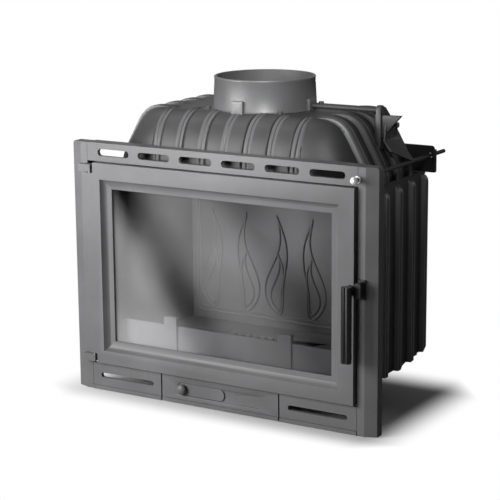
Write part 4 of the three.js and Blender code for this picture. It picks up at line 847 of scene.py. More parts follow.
@dataclass
class Hood:
    """The ribbed smoke hood, its flange and the shaft's lug."""

    dresser: Dresser
    samples: HoodSamples = HoodSamples()
    front: float = 0.023 - SETBACK
    back: float = 0.330 - SETBACK
    top: float = 0.575
    base: float = 0.4465
    shoulder_y: float = 0.058
    shoulder_z: float = 0.105
    corner_x: float = 0.156
    corner_y: float = 0.063
    plateau: float = 0.168
    foot: tuple[float, float] = (0.270, 0.4725)
    flank_low: tuple[float, float] = (0.25604, 0.497)
    flank_high: tuple[float, float] = (0.22811, 0.546)
    flank_over: tuple[float, float] = (0.21158, 0.575)
    hole: float = 0.0995
    grooves: tuple[float, ...] = (-0.156, -0.104, -0.052, 0.0, 0.052, 0.104, 0.156)
    rib_first: float = 0.086 - SETBACK
    rib_pitch: float = 0.057
    rib_width: float = 0.016
    rib_rise: float = 0.0088
    ribs: int = 4
    rib_edge: float = 0.0012
    groove_half: float = 0.0014
    groove_edge: float = 0.0020
    groove_depth: float = 0.0046
    lip_away: float = 0.0050
    lip_half: float = 0.0006
    lip_edge: float = 0.0018
    lip_rise: float = 0.0012
    lobe_rise: float = 0.0034
    flank_from: float = 0.455
    face_from: float = 0.4545
    collar_seat: float = 0.104
    bend_from: float = 0.4551
    wall: float = 0.006
    flange_half: tuple[float, float] = (0.282, 0.1535)
    flange_mouth: tuple[float, float] = (0.262, 0.1385)
    flange_z: tuple[float, float] = (0.4463, 0.4543)
    flange_front: float = 0.022 - SETBACK
    lug_x: float = 0.250
    lug_z: float = 0.590
    lug_thick: float = 0.011
    web_thick: float = 0.008

    def flank(self, count: int) -> np.ndarray:
        """Half width and height up the side: upright, a quadratic bend, a straight flank, a second bend.

        Args:
            count: points of each of the three upper stretches.

        Returns:
            Array of shape (levels, 2).
        """
        t = np.linspace(0.0, 1.0, count)[:, None]

        def bend(a: Sequence[float], b: Sequence[float], c: Sequence[float]) -> np.ndarray:
            """Quadratic curve through three control points."""
            return (1 - t) ** 2 * np.array(a) + 2 * t * (1 - t) * np.array(b) + t ** 2 * np.array(c)

        upright = np.array([[self.foot[0], self.base], [self.foot[0], self.bend_from]])
        low = bend((self.foot[0], self.bend_from), self.foot, self.flank_low)
        straight = np.array(self.flank_low) + t * (np.array(self.flank_high) - np.array(self.flank_low))
        high = bend(self.flank_high, self.flank_over, (self.plateau, self.top))
        return np.concatenate([upright, low[1:], straight[1:], high[1:]])

    def shoulder(self, z: np.ndarray) -> np.ndarray:
        """How far the front draws back at a height: a quarter ellipse."""
        rise = np.clip((z - (self.top - self.shoulder_z)) / self.shoulder_z, 0.0, 1.0)
        return self.shoulder_y * (1.0 - np.sqrt(1.0 - rise * rise))

    def around(self) -> tuple[np.ndarray, np.ndarray]:
        """Sample one level: the side closely at the ribs' edges, the front closely at the grooves' edges.

        Returns:
            The number of each point's stretch (0 to 7, from the right front corner round by the right
            side, the back and the left side to the front), and its share of that stretch.
        """
        fine = self.samples
        corner = np.unique(np.concatenate([np.linspace(0.0, 1.0, fine.corner), fine.beyond_groove]))
        plain_corner = np.linspace(0.0, 1.0, fine.plain_corner)
        length = (self.back - self.front) - 2 * self.corner_y
        starts = [index * self.rib_pitch for index in range(self.ribs)]
        steps = np.array(fine.rib_steps)
        edges = [np.concatenate([start + steps, start + self.rib_width - steps]) for start in starts]
        edges = np.concatenate(edges)
        side = np.concatenate([np.linspace(0.0, 1.0, fine.side)[1:-1], edges / length])
        side = np.unique(side[(side > fine.ends) & (side < 1.0 - fine.ends)])
        offsets = np.array(fine.groove_steps)
        lines = np.concatenate([line + hand.value * offsets for line in self.grooves for hand in Side])
        face = np.concatenate([np.linspace(0.0, 1.0, fine.face)[1:-1], (lines / self.corner_x + 1) / 2])
        face = np.unique(face[(face > fine.ends) & (face < 1.0 - fine.ends)])
        back = np.linspace(0.0, 1.0, fine.back)[1:-1]
        laid = ((0, corner), (1, side), (2, plain_corner), (3, back), (4, plain_corner), (5, 1 - side[::-1]),
                (6, 1 - corner[::-1]), (7, face))
        return (np.concatenate([np.full(len(share), kind) for kind, share in laid]),
                np.concatenate([share for _, share in laid]))

    def shell(self) -> np.ndarray:
        """Outer surface: each level is a rectangle with elliptical corners.

        The last rings close the flat top in towards the flue hole, along straight lines.

        Returns:
            Grid of (level, round the hood, xyz).
        """
        levels = self.flank(self.samples.level)
        kind, share = self.around()
        half = levels[:, :1]
        z = levels[:, 1:]
        inward = self.shoulder(z)
        front, back = self.front + inward, self.back - inward
        near, far = self.front + self.corner_y, self.back - self.corner_y
        angle = share * np.pi / 2
        x = np.zeros((len(levels), len(kind)))
        y = np.zeros_like(x)
        reach = half - self.corner_x
        laid = {
            0: (self.corner_x + reach * np.sin(angle), near - (near - front) * np.cos(angle)),
            1: (half + 0 * share, near + (far - near) * share + 0 * half),
            2: (self.corner_x + reach * np.cos(angle), far + (back - far) * np.sin(angle)),
            3: (self.corner_x * (1 - 2 * share) + 0 * half, back + 0 * share),
            4: (-self.corner_x - reach * np.sin(angle), far + (back - far) * np.cos(angle)),
            5: (-half + 0 * share, far + (near - far) * share + 0 * half),
            6: (-self.corner_x - reach * np.cos(angle), near - (near - front) * np.sin(angle)),
            7: (self.corner_x * (2 * share - 1) + 0 * half, front + 0 * share),
        }
        for number, (px, py) in laid.items():
            pick = kind == number
            x[:, pick], y[:, pick] = px[:, pick], py[:, pick]
        height = np.broadcast_to(z, x.shape)
        points = np.stack([x, y, height], -1)
        hole_angle = np.arctan2(x[-1], -y[-1])
        rim = self.hole * np.stack([np.sin(hole_angle), -np.cos(hole_angle)], -1)
        rim = np.column_stack([rim, np.full(len(kind), self.top)])
        inwards = np.linspace(0.0, 1.0, self.samples.top)[1:, None, None]
        inner = points[-1][None] + inwards * (rim - points[-1])[None]
        return np.concatenate([points, inner])

    def across_ribs(self, y: np.ndarray) -> tuple[np.ndarray, np.ndarray, np.ndarray]:
        """Profile of the ribs along Y: flat ridges with steep sides, each the same bulge.

        Args:
            y: places along Y.

        Returns:
            How far the ribs stand out, the painted highlight on their edges and the painted shade in the
            valleys, 0 to 1.
        """
        rise, rib_edge_highlight, valley_shade = np.zeros_like(y), np.zeros_like(y), np.zeros_like(y)
        half = self.rib_width / 2
        for index in range(self.ribs):
            away = np.abs(y - self.rib_first - index * self.rib_pitch - half)
            rise = np.maximum(rise, bulge(away, half - 0.0008, self.rib_edge))
            rib_edge_highlight = np.maximum(rib_edge_highlight, bulge(away - half + 0.0016, 0.0008, 0.0016))
            valley_shade = np.maximum(valley_shade, bulge(away - half - 0.007, 0.004, 0.004))
        return rise, rib_edge_highlight, valley_shade

    def across_face(self, x: np.ndarray) -> tuple[np.ndarray, np.ndarray, np.ndarray]:
        """Profile of the front along X: grooves with a bead on each side, and half ellipses between them.

        Args:
            x: places along X.

        Returns:
            How deep the channels, how high the beads and how high the lobes are, 0 to 1.
        """
        channel, lip = np.zeros_like(x), np.zeros_like(x)
        for line in self.grooves:
            channel = np.maximum(channel, bulge(x - line, self.groove_half, self.groove_edge))
            beads = bulge(np.abs(x - line) - self.lip_away, self.lip_half, self.lip_edge)
            lip = np.maximum(lip, beads)
        pitch = self.grooves[1] - self.grooves[0]
        inside = np.abs(x) < self.grooves[-1]
        place = np.abs((x / pitch) % 1.0 - 0.5) * 2.0
        return channel, lip, inside * np.sqrt(np.clip(1.0 - place ** 2, 0.0, 1.0))

    def relief(self, points: np.ndarray) -> tuple[np.ndarray, np.ndarray]:
        """Add ribs, lobes and grooves to the shell, and say where highlight and shade are painted.

        Each point moves along the surface normal by a height: the ribs' profile on the flanks and the
        face's profile on the front, faded out where they meet the flat top and the flange.

        Args:
            points: grid of the plain shell.

        Returns:
            The moved points, and the painted light of each: up to 1 for a painted highlight on edges and
            beads, below 0 for a painted shade in channels and valleys.
        """
        du = np.gradient(points, axis=0)
        dv = np.roll(points, -1, 1) - np.roll(points, 1, 1)
        normal = np.cross(dv, du)
        normal /= np.maximum(np.linalg.norm(normal, axis=2, keepdims=True), 1e-9)
        x, y, z = points[..., 0], points[..., 1], points[..., 2]
        rise, rib_edge_highlight, valley_shade = self.across_ribs(y)
        beside = smooth((np.abs(x) - self.plateau) / 0.05)
        fade = beside * 0.75 + 0.25 * smooth((np.abs(x) - 0.15) / 0.03)
        side_end = self.back - self.corner_y
        flank = (z > self.flank_from) * (y > self.rib_first - 0.004) * (y < side_end + 0.004)
        # Painted highlight over the whole first rib.
        first = bulge(y - self.rib_first - self.rib_width / 2, self.rib_width / 2, 0.001) * beside
        clear = np.hypot(x, y) > self.collar_seat
        front_part = smooth((-y - 0.06) / 0.03) * (z > self.face_from) * clear
        channel, lip, lobe = self.across_face(x)
        lobe = lobe * smooth((self.top - 0.002 - z) / 0.02)
        groove = front_part * (self.lip_rise * lip - self.groove_depth * channel + self.lobe_rise * lobe)
        ridge = self.rib_rise * rise * fade * flank
        # Painted light: highlight on rib edges, the first rib and the front's beads; shade in the rib
        # valleys and grooves.
        side_painted_light = flank * beside * (0.55 * rib_edge_highlight + 0.3 * first - 0.7 * valley_shade * (1 - rib_edge_highlight))
        wear = side_painted_light + front_part * (0.25 * lip - 0.9 * channel)
        return points + normal * (ridge + groove)[..., None], wear

    def build(self) -> None:
        """Make the shell, its flange and lug, and stand them in for the CAD hood."""
        palette = self.dresser.palette
        outer, wear = self.relief(self.shell())
        wall = Draft().grid(outer, wrap_v=True, wear=wear).build("hood_shell", outward=False)
        solid = wall.modifiers.new("wall", "SOLIDIFY")
        solid.thickness = self.wall
        solid.offset = -1.0
        self.dresser.place(wall, Body.STOVE, "casting", palette.hood, "smoke_hood")
        self.dresser.place(self.flange(), Body.STOVE, "casting", palette.dark)
        self.dresser.place(self.lug(), Body.STOVE, "casting", palette.dark)

    def flange(self) -> bpy.types.Object:
        """Make the flat ring under the hood: an outer outline and an inner one, with one edge broken.

        Returns:
            The ring.
        """
        middle = (self.flange_front + self.back) / 2
        corner, chamfer = 0.004, 0.001
        outer = rounded_rectangle(self.flange_half, corner)
        inner = rounded_rectangle(self.flange_mouth, corner)
        low, high = self.flange_z
        rings = []
        for outline, z in ((inner, low), (outer, low), (outer, high - chamfer),
                           (shrink(outer, chamfer), high), (inner, high)):
            rings.append(np.column_stack([outline[:, 0], outline[:, 1] + middle, np.full(len(outline), z)]))
        rings.append(rings[0])
        return Draft().grid(np.stack(rings), wrap_v=True).build("hood_flange")

    def lug(self) -> bpy.types.Object:
        """Make the shaft lug: an upright plate with a tapering web that runs down into the hood.

        Returns:
            The lug.
        """
        outline = np.array([[-8.5, -75], [8.5, -75], [8.5, 3], [4, 9.5], [-4, 9.5], [-8.5, 3]]) * MM
        place = (self.lug_x, 0.0, self.lug_z)
        plate = carried(pillow(outline, self.lug_thick, 0.0012), RIGHTWARDS, UPWARDS, place)
        web = np.array([[-52, -8], [0, -66], [4, -60], [4, -9], [-4, -9]]) * MM
        place = (self.lug_x, -self.web_thick / 2, self.lug_z)
        rib = carried(pillow(web, self.web_thick, 0.001), BACKWARDS, UPWARDS, place)
        return Draft().grid(plate, wrap_v=True).grid(rib, wrap_v=True).build("shaft_lug")


# ------------------------------------------------------------------------------------------ flue collar
@dataclass
class Collar:
    """The round flue collar with four bosses, four bolted ears and its bolts."""

    dresser: Dresser
    bottom: float = 0.5753
    rim: float = 0.644
    base_radius: float = 0.104
    rim_radius: float = 0.100
    wall: float = 0.005
    boss_half: tuple[float, float] = (0.013, 0.014)
    boss_depth: float = 0.008
    boss_out: float = 0.1004
    boss_rise: float = 0.0142
    ear_half: tuple[float, float] = (0.0125, 0.011)
    ear_thick: float = 0.006
    ear_out: float = 0.1115

    def build(self) -> None:
        """Turn the tube, add bosses and ears, and stand them in for the CAD collar."""
        inner_base, inner_rim = self.base_radius - self.wall, self.rim_radius - self.wall
        bead = self.base_radius + 0.003
        profile = [
            (inner_base, self.bottom), (bead, self.bottom), (bead, self.bottom + 0.0035),
            (self.base_radius + 0.0006, self.bottom + 0.006),
            (self.base_radius - 0.0009, self.bottom + 0.0095),
            (self.rim_radius + 0.0002, self.rim - 0.0046), (self.rim_radius + 0.0008, self.rim - 0.0036),
            (self.rim_radius + 0.0009, self.rim - 0.0012), (self.rim_radius, self.rim - 0.0001),
            (inner_rim + 0.0006, self.rim), (inner_rim, self.rim - 0.0006), (inner_base, self.bottom),
        ]
        draft = Draft().grid(turned(profile, 144), wrap_v=True)
        for quarter in range(4):
            turn = Matrix.Rotation(quarter * math.pi / 2, 3, "Z")
            block = pillow(rounded_rectangle(self.boss_half, 0.002), self.boss_depth, 0.0012)
            place = turn @ Vector((self.boss_out, 0, self.bottom + self.boss_rise))
            boss = carried(block, turn @ Vector(RIGHTWARDS), UPWARDS, place)
            turn = Matrix.Rotation(math.pi / 4 + quarter * math.pi / 2, 3, "Z")
            pad = pillow(rounded_rectangle(self.ear_half, 0.005), self.ear_thick, 0.001)
            place = turn @ Vector((self.ear_out, 0, self.bottom))
            ear = carried(pad, UPWARDS, turn @ Vector(BACKWARDS), place)
            draft.grid(boss, wrap_v=True).grid(ear, wrap_v=True)
        palette = self.dresser.palette
        self.dresser.place(draft.build("flue_tube"), Body.STOVE, "casting", palette.collar, "flue_collar")
        for number in range(1, 5):
            self.dresser.soften(f"collar_bolt_{number}", Body.STOVE, "steel", palette.dark, 0.5)


# ------------------------------------------------------------------------------------------ body walls
@dataclass
class SideWall:
    """One ribbed side plate: upright ribs with rounded tops on a flat wall."""

    dresser: Dresser
    side: Side
    valley: float = 0.278
    front: float = 0.0203 - SETBACK
    back: float = 0.330 - SETBACK
    top: float = 0.446
    rib_first: float = 0.086 - SETBACK
    rib_pitch: float = 0.057
    rib_width: float = 0.016
    rib_rise: float = 0.010
    ribs: int = 5
    crest: float = 0.433
    crest_slope: float = 0.05
    crest_round: float = 0.014
    # Painted shade over the whole wall, as a value below 0.
    dirt: float = -0.55
    wall: float = 0.0058

    def foot(self, y: np.ndarray) -> np.ndarray:
        """Lower edge: straight, a small tab, then rising to the back."""
        at = np.array([20, 222, 227, 233, 240, 253, 314, 330]) * MM - SETBACK
        return np.interp(y, at, np.array([69, 69, 62, 62, 69, 72, 79, 91]) * MM)

    def build(self) -> None:
        """Make the wall as a height over a plane: ribs are ridges whose tops round back into the wall."""
        edges = []
        for index in range(self.ribs):
            start = self.rib_first + index * self.rib_pitch
            edges += [start + s for s in (-0.0012, -0.0004, 0.0004, 0.0013, 0.0024)]
            edges += [start + self.rib_width + s for s in (-0.0024, -0.0013, -0.0004, 0.0004, 0.0012)]
        y = np.concatenate([np.linspace(self.front, self.back, 60), edges])
        y = np.unique(np.clip(y, self.front, self.back))
        share = np.unique(np.concatenate([np.linspace(0.0, 1.0, 30), np.linspace(0.86, 1.0, 30)]))
        foot = self.foot(y)
        z = foot[:, None] + (self.top - foot)[:, None] * share[None, :]
        # Painted light: shade over the whole wall, highlight on the ribs' edges and crests.
        rise, wear = np.zeros_like(z), np.full_like(z, self.dirt)
        for index in range(self.ribs):
            start = self.rib_first + index * self.rib_pitch
            crest = self.crest + self.crest_slope * (start - self.rib_first)
            across = bulge(y - start - self.rib_width / 2, self.rib_width / 2 - 0.0014, 0.0018)[:, None]
            down = np.clip((crest - z) / self.crest_round, 0.0, 1.0)
            rise = np.maximum(rise, across * np.sqrt(1.0 - (1.0 - down) ** 2))
            away = np.abs(y - start - self.rib_width / 2) - self.rib_width / 2
            # Painted highlight along each rib's edges and across its crest.
            edge = bulge(away + 0.0012, 0.0008, 0.0012)[:, None] * (z < crest + 0.002)
            top = bulge(away, self.rib_width, 0.001)[:, None] * bulge(z - crest + 0.004, 0.0015, 0.003)
            top = top * (away[:, None] < 0.0)
            wear = np.maximum(wear, np.maximum(edge * 0.5, top * 0.5))
        x = self.side.value * (self.valley + self.rib_rise * rise)
        points = np.stack([x, np.broadcast_to(y[:, None], z.shape), z], -1)
        plate = Draft().grid(points, wear=wear).build(f"{self.side.name.lower()}_ribbed_wall", outward=False)
        if self.side is Side.LEFT:
            plate.data.flip_normals()
        wall = plate.modifiers.new("wall", "SOLIDIFY")
        wall.thickness = self.wall
        wall.offset = -1.0
        node = f"{self.side.name.lower()}_side_plate"
        self.dresser.place(plate, Body.STOVE, "casting", self.dresser.palette.side, node)


# ------------------------------------------------------------------------------------------ firebox inside
@dataclass
class Fireback:
    """Cast back of the hearth: double border and a row of plain flame outlines."""

    dresser: Dresser
    face: float = 0.295 - SETBACK
    half: float = 0.255
    low: float = 0.0784
    high: float = 0.403
    flames: int = 6
    pitch: float = 0.080
    foot: float = 0.118
    tall: float = 0.215
    wide: float = 0.027
    line_rise: float = 0.003
    flame_line: float = 0.0024
    border: tuple[tuple[float, float], ...] = ((0.012, 0.0022), (0.021, 0.0016))
    border_margin: float = 0.012
    slab: float = 0.010

    def tongue(self, middle: float, lean: int) -> list[np.ndarray]:
        """Outline of one flame, and a smaller one inside.

        The half width is a sine bulge that thins towards the tip; the middle line sways like a sine.

        Args:
            middle: X of its foot.
            lean: 1 or -1, the side to which it sways first.

        Returns:
            The two closed outlines.
        """
        lines = []
        for size, base in ((1.0, 0.0), (0.58, 0.055)):
            t = np.linspace(0.0, 1.0, 46)
            sway = 0.011 * size * np.sin(2.1 * np.pi * t) * lean
            half = self.wide * size * np.sin(np.pi * np.clip(t, 0, 1) ** 0.62) ** 1.1 * (1.0 - 0.62 * t)
            z = self.foot + base * self.tall + self.tall * size * t
            left = np.stack([middle + sway - half, np.full_like(t, self.face), z], -1)
            right = np.stack([middle + sway + half, np.full_like(t, self.face), z], -1)
            lines.append(np.concatenate([left, right[::-1][1:-1]]))
        return lines

    def build(self) -> None:
        """Make the plate, its border lines and flames as raised half-round lines."""
        middle = (self.low + self.high) / 2
        tall = (self.high - self.low) / 2
        slab = pillow(rounded_rectangle((self.half, tall), 0.002), self.slab, 0.001)
        plate = carried(slab, BACKWARDS, UPWARDS, (0.0, self.face, middle))
        draft = Draft().grid(plate, wrap_v=True)
        for inset, half in self.border:
            line = rounded_rectangle((self.half - inset, tall - self.border_margin - inset), 0.012)
            up = line[:, 1] + middle + self.border_margin / 2
            path = np.column_stack([line[:, 0], np.full(len(line), self.face), up])
            draft.grid(ribbon(path, FORWARDS, half, self.line_rise), wrap_u=True, wrap_v=True)
        for index in range(self.flames):
            centre = (index - (self.flames - 1) / 2) * self.pitch
            for path in self.tongue(centre, 1 if index % 2 else -1):
                draft.grid(ribbon(path, FORWARDS, self.flame_line, self.line_rise), wrap_u=True, wrap_v=True)
        self.dresser.place(draft.build("fireback_casting", outward=False), Body.STOVE, "lining",
                           self.dresser.palette.fireback, "fireback")


@dataclass
class Firebox:
    """The plates, linings and loose castings of the firebox."""

    dresser: Dresser

    def build(self) -> None:
        """Dress the inner castings."""
        palette = self.dresser.palette
        for side in Side:
            SideWall(self.dresser, side).build()
        Fireback(self.dresser).build()
        for node in ("back_plate", "base_plate", "ash_box", "firebox_front"):
            self.dresser.soften(node, Body.STOVE, "casting", palette.side, 1.2)
        for node in ("left_lining_plate", "right_lining_plate", "hearth_floor", "grate", "smoke_baffle"):
            self.dresser.soften(node, Body.STOVE, "lining", palette.lining, 1.0)
        self.dresser.soften("log_retainer", Body.STOVE, "lining", palette.pale_lining, 2.0)


# ------------------------------------------------------------------------------------------ surround
@dataclass
class Surround:
    """Columns, top bar, lower panels, hinge blocks and the latch keeper."""

    dresser: Dresser

    def build(self) -> None:
        """Soften the castings of the surround."""
        palette = self.dresser.palette
        for node in ("surround_left_column", "surround_right_column", "surround_top_bar"):
            self.dresser.soften(node, Body.STOVE, "casting", palette.coat, 1.2)
        panels = ("lower_left_vent_panel", "lower_right_vent_panel")
        for node in (*panels, "upper_hinge_block", "lower_hinge_block"):
            self.dresser.soften(node, Body.STOVE, "casting", palette.coat, 0.8)
        self.dresser.paint(palette.steel, "upper_hinge_pin", "lower_hinge_pin")
        self.dresser.soften("latch_keeper", Body.STOVE, "black_paint", palette.enamel, 1.5)
        self.dresser.soften("damper_rod_bush", Body.STOVE, "bright_plating", palette.nickel, 0.5)
        self.dresser.soften("damper_rod_guide", Body.STOVE, "casting", palette.hood, 0.8)


# ------------------------------------------------------------------------------------------ door
@dataclass
class Door:
    """The glazed door with its seal and clips."""

    dresser: Dresser
    seal_half: tuple[float, float] = (0.281, 0.190)
    seal_middle: float = 0.2675
    seal_y: float = 0.0080 - SETBACK
    seal_corner: float = 0.012
    seal_radius: float = 0.0034
    strand_rise: float = 0.0003
    strands: int = 3
    lay: float = 0.012

    def seal(self) -> bpy.types.Object:
        """Make the rope seal: a three-lobed round section that twists round a rectangle.

        The radius is a cosine of three times the angle, and the angle turns once for each lay.

        Returns:
            The rope.
        """
        line = rounded_rectangle(self.seal_half, self.seal_corner, 10)
        step = np.linalg.norm(np.roll(line, -1, 0) - line, axis=1)
        ends = np.concatenate([[0.0], np.cumsum(step)])
        at = np.linspace(0.0, ends[-1], 900, endpoint=False)
        closed = np.vstack([line, line[:1]])
        x = np.interp(at, ends, closed[:, 0])
        z = np.interp(at, ends, closed[:, 1])
        path = np.stack([x, np.full_like(x, self.seal_y), z + self.seal_middle], -1)
        ahead = np.roll(path, -1, 0) - np.roll(path, 1, 0)
        ahead /= np.linalg.norm(ahead, axis=1, keepdims=True)
        up = np.array(BACKWARDS, float)
        across = np.cross(ahead, up)
        angle = np.linspace(0.0, 2 * np.pi, 20, endpoint=False)[None, :]
        twist = at[:, None] / self.lay * 2 * np.pi
        radius = self.seal_radius + self.strand_rise * np.cos(self.strands * (angle + twist / self.strands))
        sideways = (radius * np.cos(angle))[..., None] * across[:, None]
        tube = path[:, None] + sideways + (radius * np.sin(angle))[..., None] * up
        return Draft().grid(tube, wrap_u=True, wrap_v=True).build("seal_rope")

    def build(self) -> None:
        """Soften the frame, lay the seal and dress the glass."""
        palette = self.dresser.palette
        self.dresser.soften("door_frame", Body.DOOR, "casting", palette.coat, 1.0)
        self.dresser.place(self.seal(), Body.DOOR, "seal_rope", palette.rope, "door_seal")
        self.dresser.paint(palette.glass, "door_glass")
        for row in ("lower", "upper"):
            for side in Side:
                clip = f"glass_clip_{row}_{side.name.lower()}"
                self.dresser.soften(clip, Body.DOOR, "steel", palette.steel, 0.4)


@dataclass
class Handle:
    """The ribbed grip with its hub and latch tongue."""

    dresser: Dresser

    def build(self) -> None:
        """Soften the handle and dress its spindle and nut."""
        palette = self.dresser.palette
        self.dresser.soften("door_handle", Body.HANDLE, "black_paint", palette.enamel, 0.8)
        self.dresser.paint(palette.steel, "handle_spindle")
        self.dresser.soften("handle_nut", Body.HANDLE, "steel", palette.steel, 0.5)


# ------------------------------------------------------------------------------------------ drawer
@dataclass
class Drawer:
    """Ash drawer and the primary-air slide in its front."""

    dresser: Dresser
    knob_x: float = -0.086
    knob_z: float = 0.031
    knob_y: float = -0.0075 - SETBACK

    def build(self) -> None:
        """Soften the drawer and turn the slide's knob."""
        palette = self.dresser.palette
        self.dresser.soften("ash_drawer_front", Body.DRAWER, "casting", palette.coat, 0.8)
        self.dresser.soften("ash_pan", Body.DRAWER, "steel", palette.sheet, 0.8)
        self.dresser.soften("air_slide", Body.AIR, "casting", palette.coat, 0.5)
        self.dresser.place(self.knob(), Body.AIR, "casting", palette.coat, "air_slide_knob")

    def knob(self) -> bpy.types.Object:
        """Make the domed knob: a turned neck, an elliptical rim and an elliptical dome.

        Returns:
            The knob.
        """
        neck = [(0.0, 0.0), (0.008, 0.0), (0.008, 0.0024)]
        round_rim = np.linspace(0, math.pi * 0.55, 6)
        rim = [(0.0096 + 0.0014 * math.sin(a), 0.0040 - 0.0016 * math.cos(a)) for a in round_rim]
        over = np.linspace(0.12, math.pi / 2, 9)
        dome = [(0.0108 * math.cos(a), 0.0050 + 0.0068 * math.sin(a)) for a in over]
        centre = (self.knob_x, self.knob_y, self.knob_z)
        points = carried(turned(neck + rim + dome, 48), FORWARDS, UPWARDS, centre)
        return Draft().grid(points, wrap_v=True).build("slide_knob")


# ------------------------------------------------------------------------------------------ flue damper
@dataclass
class Damper:
    """Shaft, flap, crank and the pull rod with its driver and knob."""

    dresser: Dresser
    rod: tuple[float, float] = (0.305, 0.489)
    rod_end: float = -0.0143 - SETBACK
    ball_radius: float = 0.0075
    ball_out: float = 0.00885

    def knob(self) -> bpy.types.Object:
        """Make the ball knob: an arc turned about the rod, after a short neck.

        Returns:
            The knob.
        """
        turn = np.linspace(0.56, math.pi, 22)
        size = self.ball_radius
        ball = [(size * math.sin(a), self.ball_out - size * math.cos(a)) for a in turn]
        profile = [(0.0, 0.0), (0.0038, 0.0), (0.0036, 0.0014), (0.0038, 0.0022), *ball]
        centre = (self.rod[0], self.rod_end, self.rod[1])
        points = carried(turned(profile, 48), FORWARDS, UPWARDS, centre)
        return Draft().grid(points, wrap_v=True).build("pull_ball")

    def build(self) -> None:
        """Soften the castings and turn the ball."""
        palette = self.dresser.palette
        self.dresser.soften("damper_shaft", Body.DAMPER, "steel", palette.hood, 0.5)
        self.dresser.soften("damper_flap", Body.DAMPER, "casting", palette.side, 0.8)
        self.dresser.soften("damper_crank", Body.DAMPER, "casting", palette.dark, 0.7)
        self.dresser.soften("crank_pin", Body.DAMPER, "steel", palette.steel, 0.5)
        self.dresser.soften("damper_rod", Body.PULL, "steel", palette.hood, 0.5)
        self.dresser.soften("damper_driver", Body.PULL, "casting", palette.dark, 0.9)
        self.dresser.place(self.knob(), Body.PULL, "bright_plating", palette.nickel, "damper_knob")


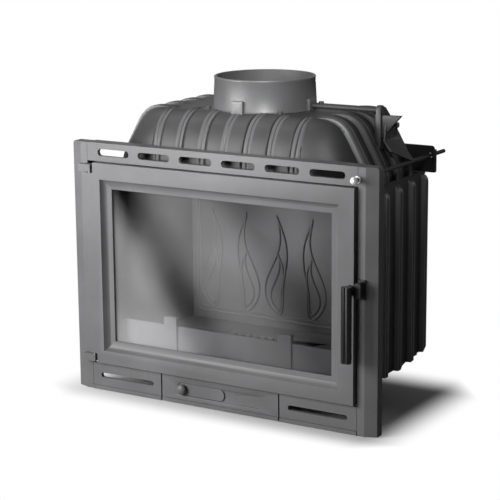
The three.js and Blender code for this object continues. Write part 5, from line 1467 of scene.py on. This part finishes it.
# ------------------------------------------------------------------------------------------ studio
@dataclass
class Studio:
    """Camera, lamps, floor and the pale surroundings."""

    focal_px: float = 1700.0
    image_px: int = 500
    yaw: float = 31.26
    pitch: float = 12.62
    roll: float = 0.48
    eye: tuple[float, float, float] = (1.7163, -2.7131 - SETBACK, 1.0413)
    sensor: float = 36.0
    floor_white: float = 0.6
    floor_dim: float = 0.35
    floor_drop: float = 0.0004
    fade_beside: tuple[float, float] = (0.315, 0.42)
    fade_front: tuple[float, float] = (0.19, 0.27)
    fade_back: tuple[float, float] = (0.13, 0.26)
    room_left: float = 0.16
    room_right: float = 0.035
    room_behind: float = 0.5

    def camera(self) -> None:
        """Place the camera: yaw about Z, pitch down, then a slight roll."""
        yaw, pitch, roll = (math.radians(a) for a in (self.yaw, self.pitch, self.roll))
        ahead = Vector((-math.sin(yaw) * math.cos(pitch), math.cos(yaw) * math.cos(pitch), -math.sin(pitch)))
        right = Vector((math.cos(yaw), math.sin(yaw), 0.0))
        down = ahead.cross(right)
        tilt_right = right * math.cos(roll) + down * math.sin(roll)
        tilt_down = down * math.cos(roll) - right * math.sin(roll)
        data = bpy.data.cameras.new("camera")
        data.sensor_width = self.sensor
        data.lens = self.focal_px / self.image_px * self.sensor
        data.clip_end = 50.0
        camera = bpy.data.objects.new("camera", data)
        bpy.context.scene.collection.objects.link(camera)
        basis = Matrix((tilt_right, -tilt_down, -ahead)).transposed().to_4x4()
        camera.matrix_world = Matrix.Translation(self.eye) @ basis
        bpy.context.scene.camera = camera

    @staticmethod
    def hang(data: bpy.types.Light, place: Sequence[float], aim: Sequence[float]) -> None:
        """Hang a lamp that the camera doesn't see.

        Args:
            data: the lamp.
            place: where it hangs.
            aim: the point that it is turned to.
        """
        lamp = bpy.data.objects.new(data.name, data)
        bpy.context.scene.collection.objects.link(lamp)
        lamp.location = place
        lamp.rotation_euler = (Vector(aim) - Vector(place)).to_track_quat("-Z", "Y").to_euler()
        lamp.visible_camera = False

    def lamp(self, name: str, place: Sequence[float], aim: Sequence[float], size: float,
             power: float) -> None:
        """Add one square soft lamp.

        Args:
            name: the lamp's name.
            place: where it hangs.
            aim: the point that it is turned to.
            size: length of its sides.
            power: in watts.
        """
        data = bpy.data.lights.new(name, "AREA")
        data.shape = "SQUARE"
        data.size = size
        data.energy = power
        self.hang(data, place, aim)

    def spot(self, name: str, place: Sequence[float], aim: Sequence[float], cone: float,
             power: float) -> None:
        """Add one soft-edged spot.

        Args:
            name: the lamp's name.
            place: where it hangs.
            aim: the point that it is turned to.
            cone: full angle in degrees.
            power: in watts.
        """
        data = bpy.data.lights.new(name, "SPOT")
        data.spot_size = math.radians(cone)
        data.spot_blend = 0.8
        data.shadow_soft_size = 0.2
        data.energy = power
        self.hang(data, place, aim)

    def floor(self) -> None:
        """White floor that keeps the object's shadow.

        For the camera it is a matt ground near the object, where the shadow falls, and plain white
        further out; for every other ray it is a dim matt ground.
        """
        turn = np.linspace(0.0, 2 * np.pi, 64, endpoint=False)
        radius = np.array([0.0, 0.3, 0.6, 1.4, 2.4, 5.0, 14.0])[:, None]
        drop = np.full((len(radius), len(turn)), -self.floor_drop)
        rings = np.stack([radius * np.cos(turn), radius * np.sin(turn), drop], -1)
        floor = Draft().grid(rings, wrap_v=True).build("floor", outward=False)
        if floor.data.polygons[0].normal.z < 0:
            floor.data.flip_normals()
        material, g = new_material("white_floor")
        seen_ground = g.node("ShaderNodeBsdfDiffuse", {}, {"Color": (*even_grey(self.floor_white), 1.0)})
        far_ground = g.node("ShaderNodeEmission", {}, {"Color": WHITE, "Strength": 1.0})
        beside = ((g.axis("X") * g.axis("X")) ** 0.5).band(*self.fade_beside)
        ahead = (g.axis("Y") * -1.0).band(*self.fade_front)
        away = (beside + ahead + g.axis("Y").band(*self.fade_back)).clamp()
        for_camera = g.node("ShaderNodeMixShader", {}, {0: away, 1: seen_ground, 2: far_ground})
        plain_ground = g.node("ShaderNodeBsdfDiffuse", {}, {"Color": (*even_grey(self.floor_dim), 1.0)})
        seen = g.node("ShaderNodeLightPath", output="Is Camera Ray")
        g.finish(g.node("ShaderNodeMixShader", {}, {0: seen, 1: plain_ground, 2: for_camera}))
        floor.data.materials.append(material)
        floor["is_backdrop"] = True

    def world(self) -> None:
        """Surroundings: white where they are seen, otherwise a dim room that is brighter on the left."""
        world = bpy.data.worlds.new("studio")
        bpy.context.scene.world = world
        world.use_nodes = True
        g = Graph(world.node_tree)
        way = g.node("ShaderNodeTexCoord", output="Generated")
        across, deep, high = (g.node("ShaderNodeSeparateXYZ", {}, {0: way}, output=name) for name in "XYZ")
        left = (across * -1.0).band(-0.35, 0.9)
        behind = deep.band(0.1, 0.9) * high.band(0.6, 0.1) * self.room_behind
        light = left * self.room_left + behind + self.room_right
        room = g.node("ShaderNodeBackground", {}, {"Color": WHITE, "Strength": light})
        white = g.node("ShaderNodeBackground", {}, {"Color": WHITE, "Strength": 1.0})
        seen = g.node("ShaderNodeLightPath", output="Is Camera Ray")
        g.finish(g.node("ShaderNodeMixShader", {}, {0: seen, 1: room, 2: white}), "ShaderNodeOutputWorld")

    def build(self) -> None:
        """Set up the whole studio."""
        bpy.context.scene.view_settings.view_transform = "Standard"
        self.camera()
        self.world()
        self.floor()
        self.lamp("key", (-0.8, -1.3, 0.66), (0.0, -0.15, 0.26), 0.8, 34.0)
        self.lamp("front_fill", (-0.6, -3.2, 1.2), (0.0, 0.0, 0.3), 1.2, 22.0)
        self.lamp("top", (-0.9, -0.2, 1.9), (0.0, 0.0, 0.4), 0.9, 7.0)
        self.spot("collar_light", (1.2, -2.2, 1.7), (-0.03, -0.02, 0.62), 12.0, 620.0)
        self.lamp("hearth_glow", (-0.12, -0.11, 0.27), (-0.15, 0.12, 0.26), 0.05, 1.5)


def main() -> dict:
    """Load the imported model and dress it, piece by piece.

    Returns:
        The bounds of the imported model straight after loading.
    """
    logging.basicConfig(level=logging.INFO, format="%(name)s: %(message)s")
    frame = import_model()
    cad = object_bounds()
    Studio().build()
    dresser = Dresser(frame, Palette())
    for assembly in (Surround, Firebox, Hood, Collar, Door, Handle, Drawer, Damper):
        assembly(dresser).build()
    return cad


if __name__ == "__main__":
    packed = main()
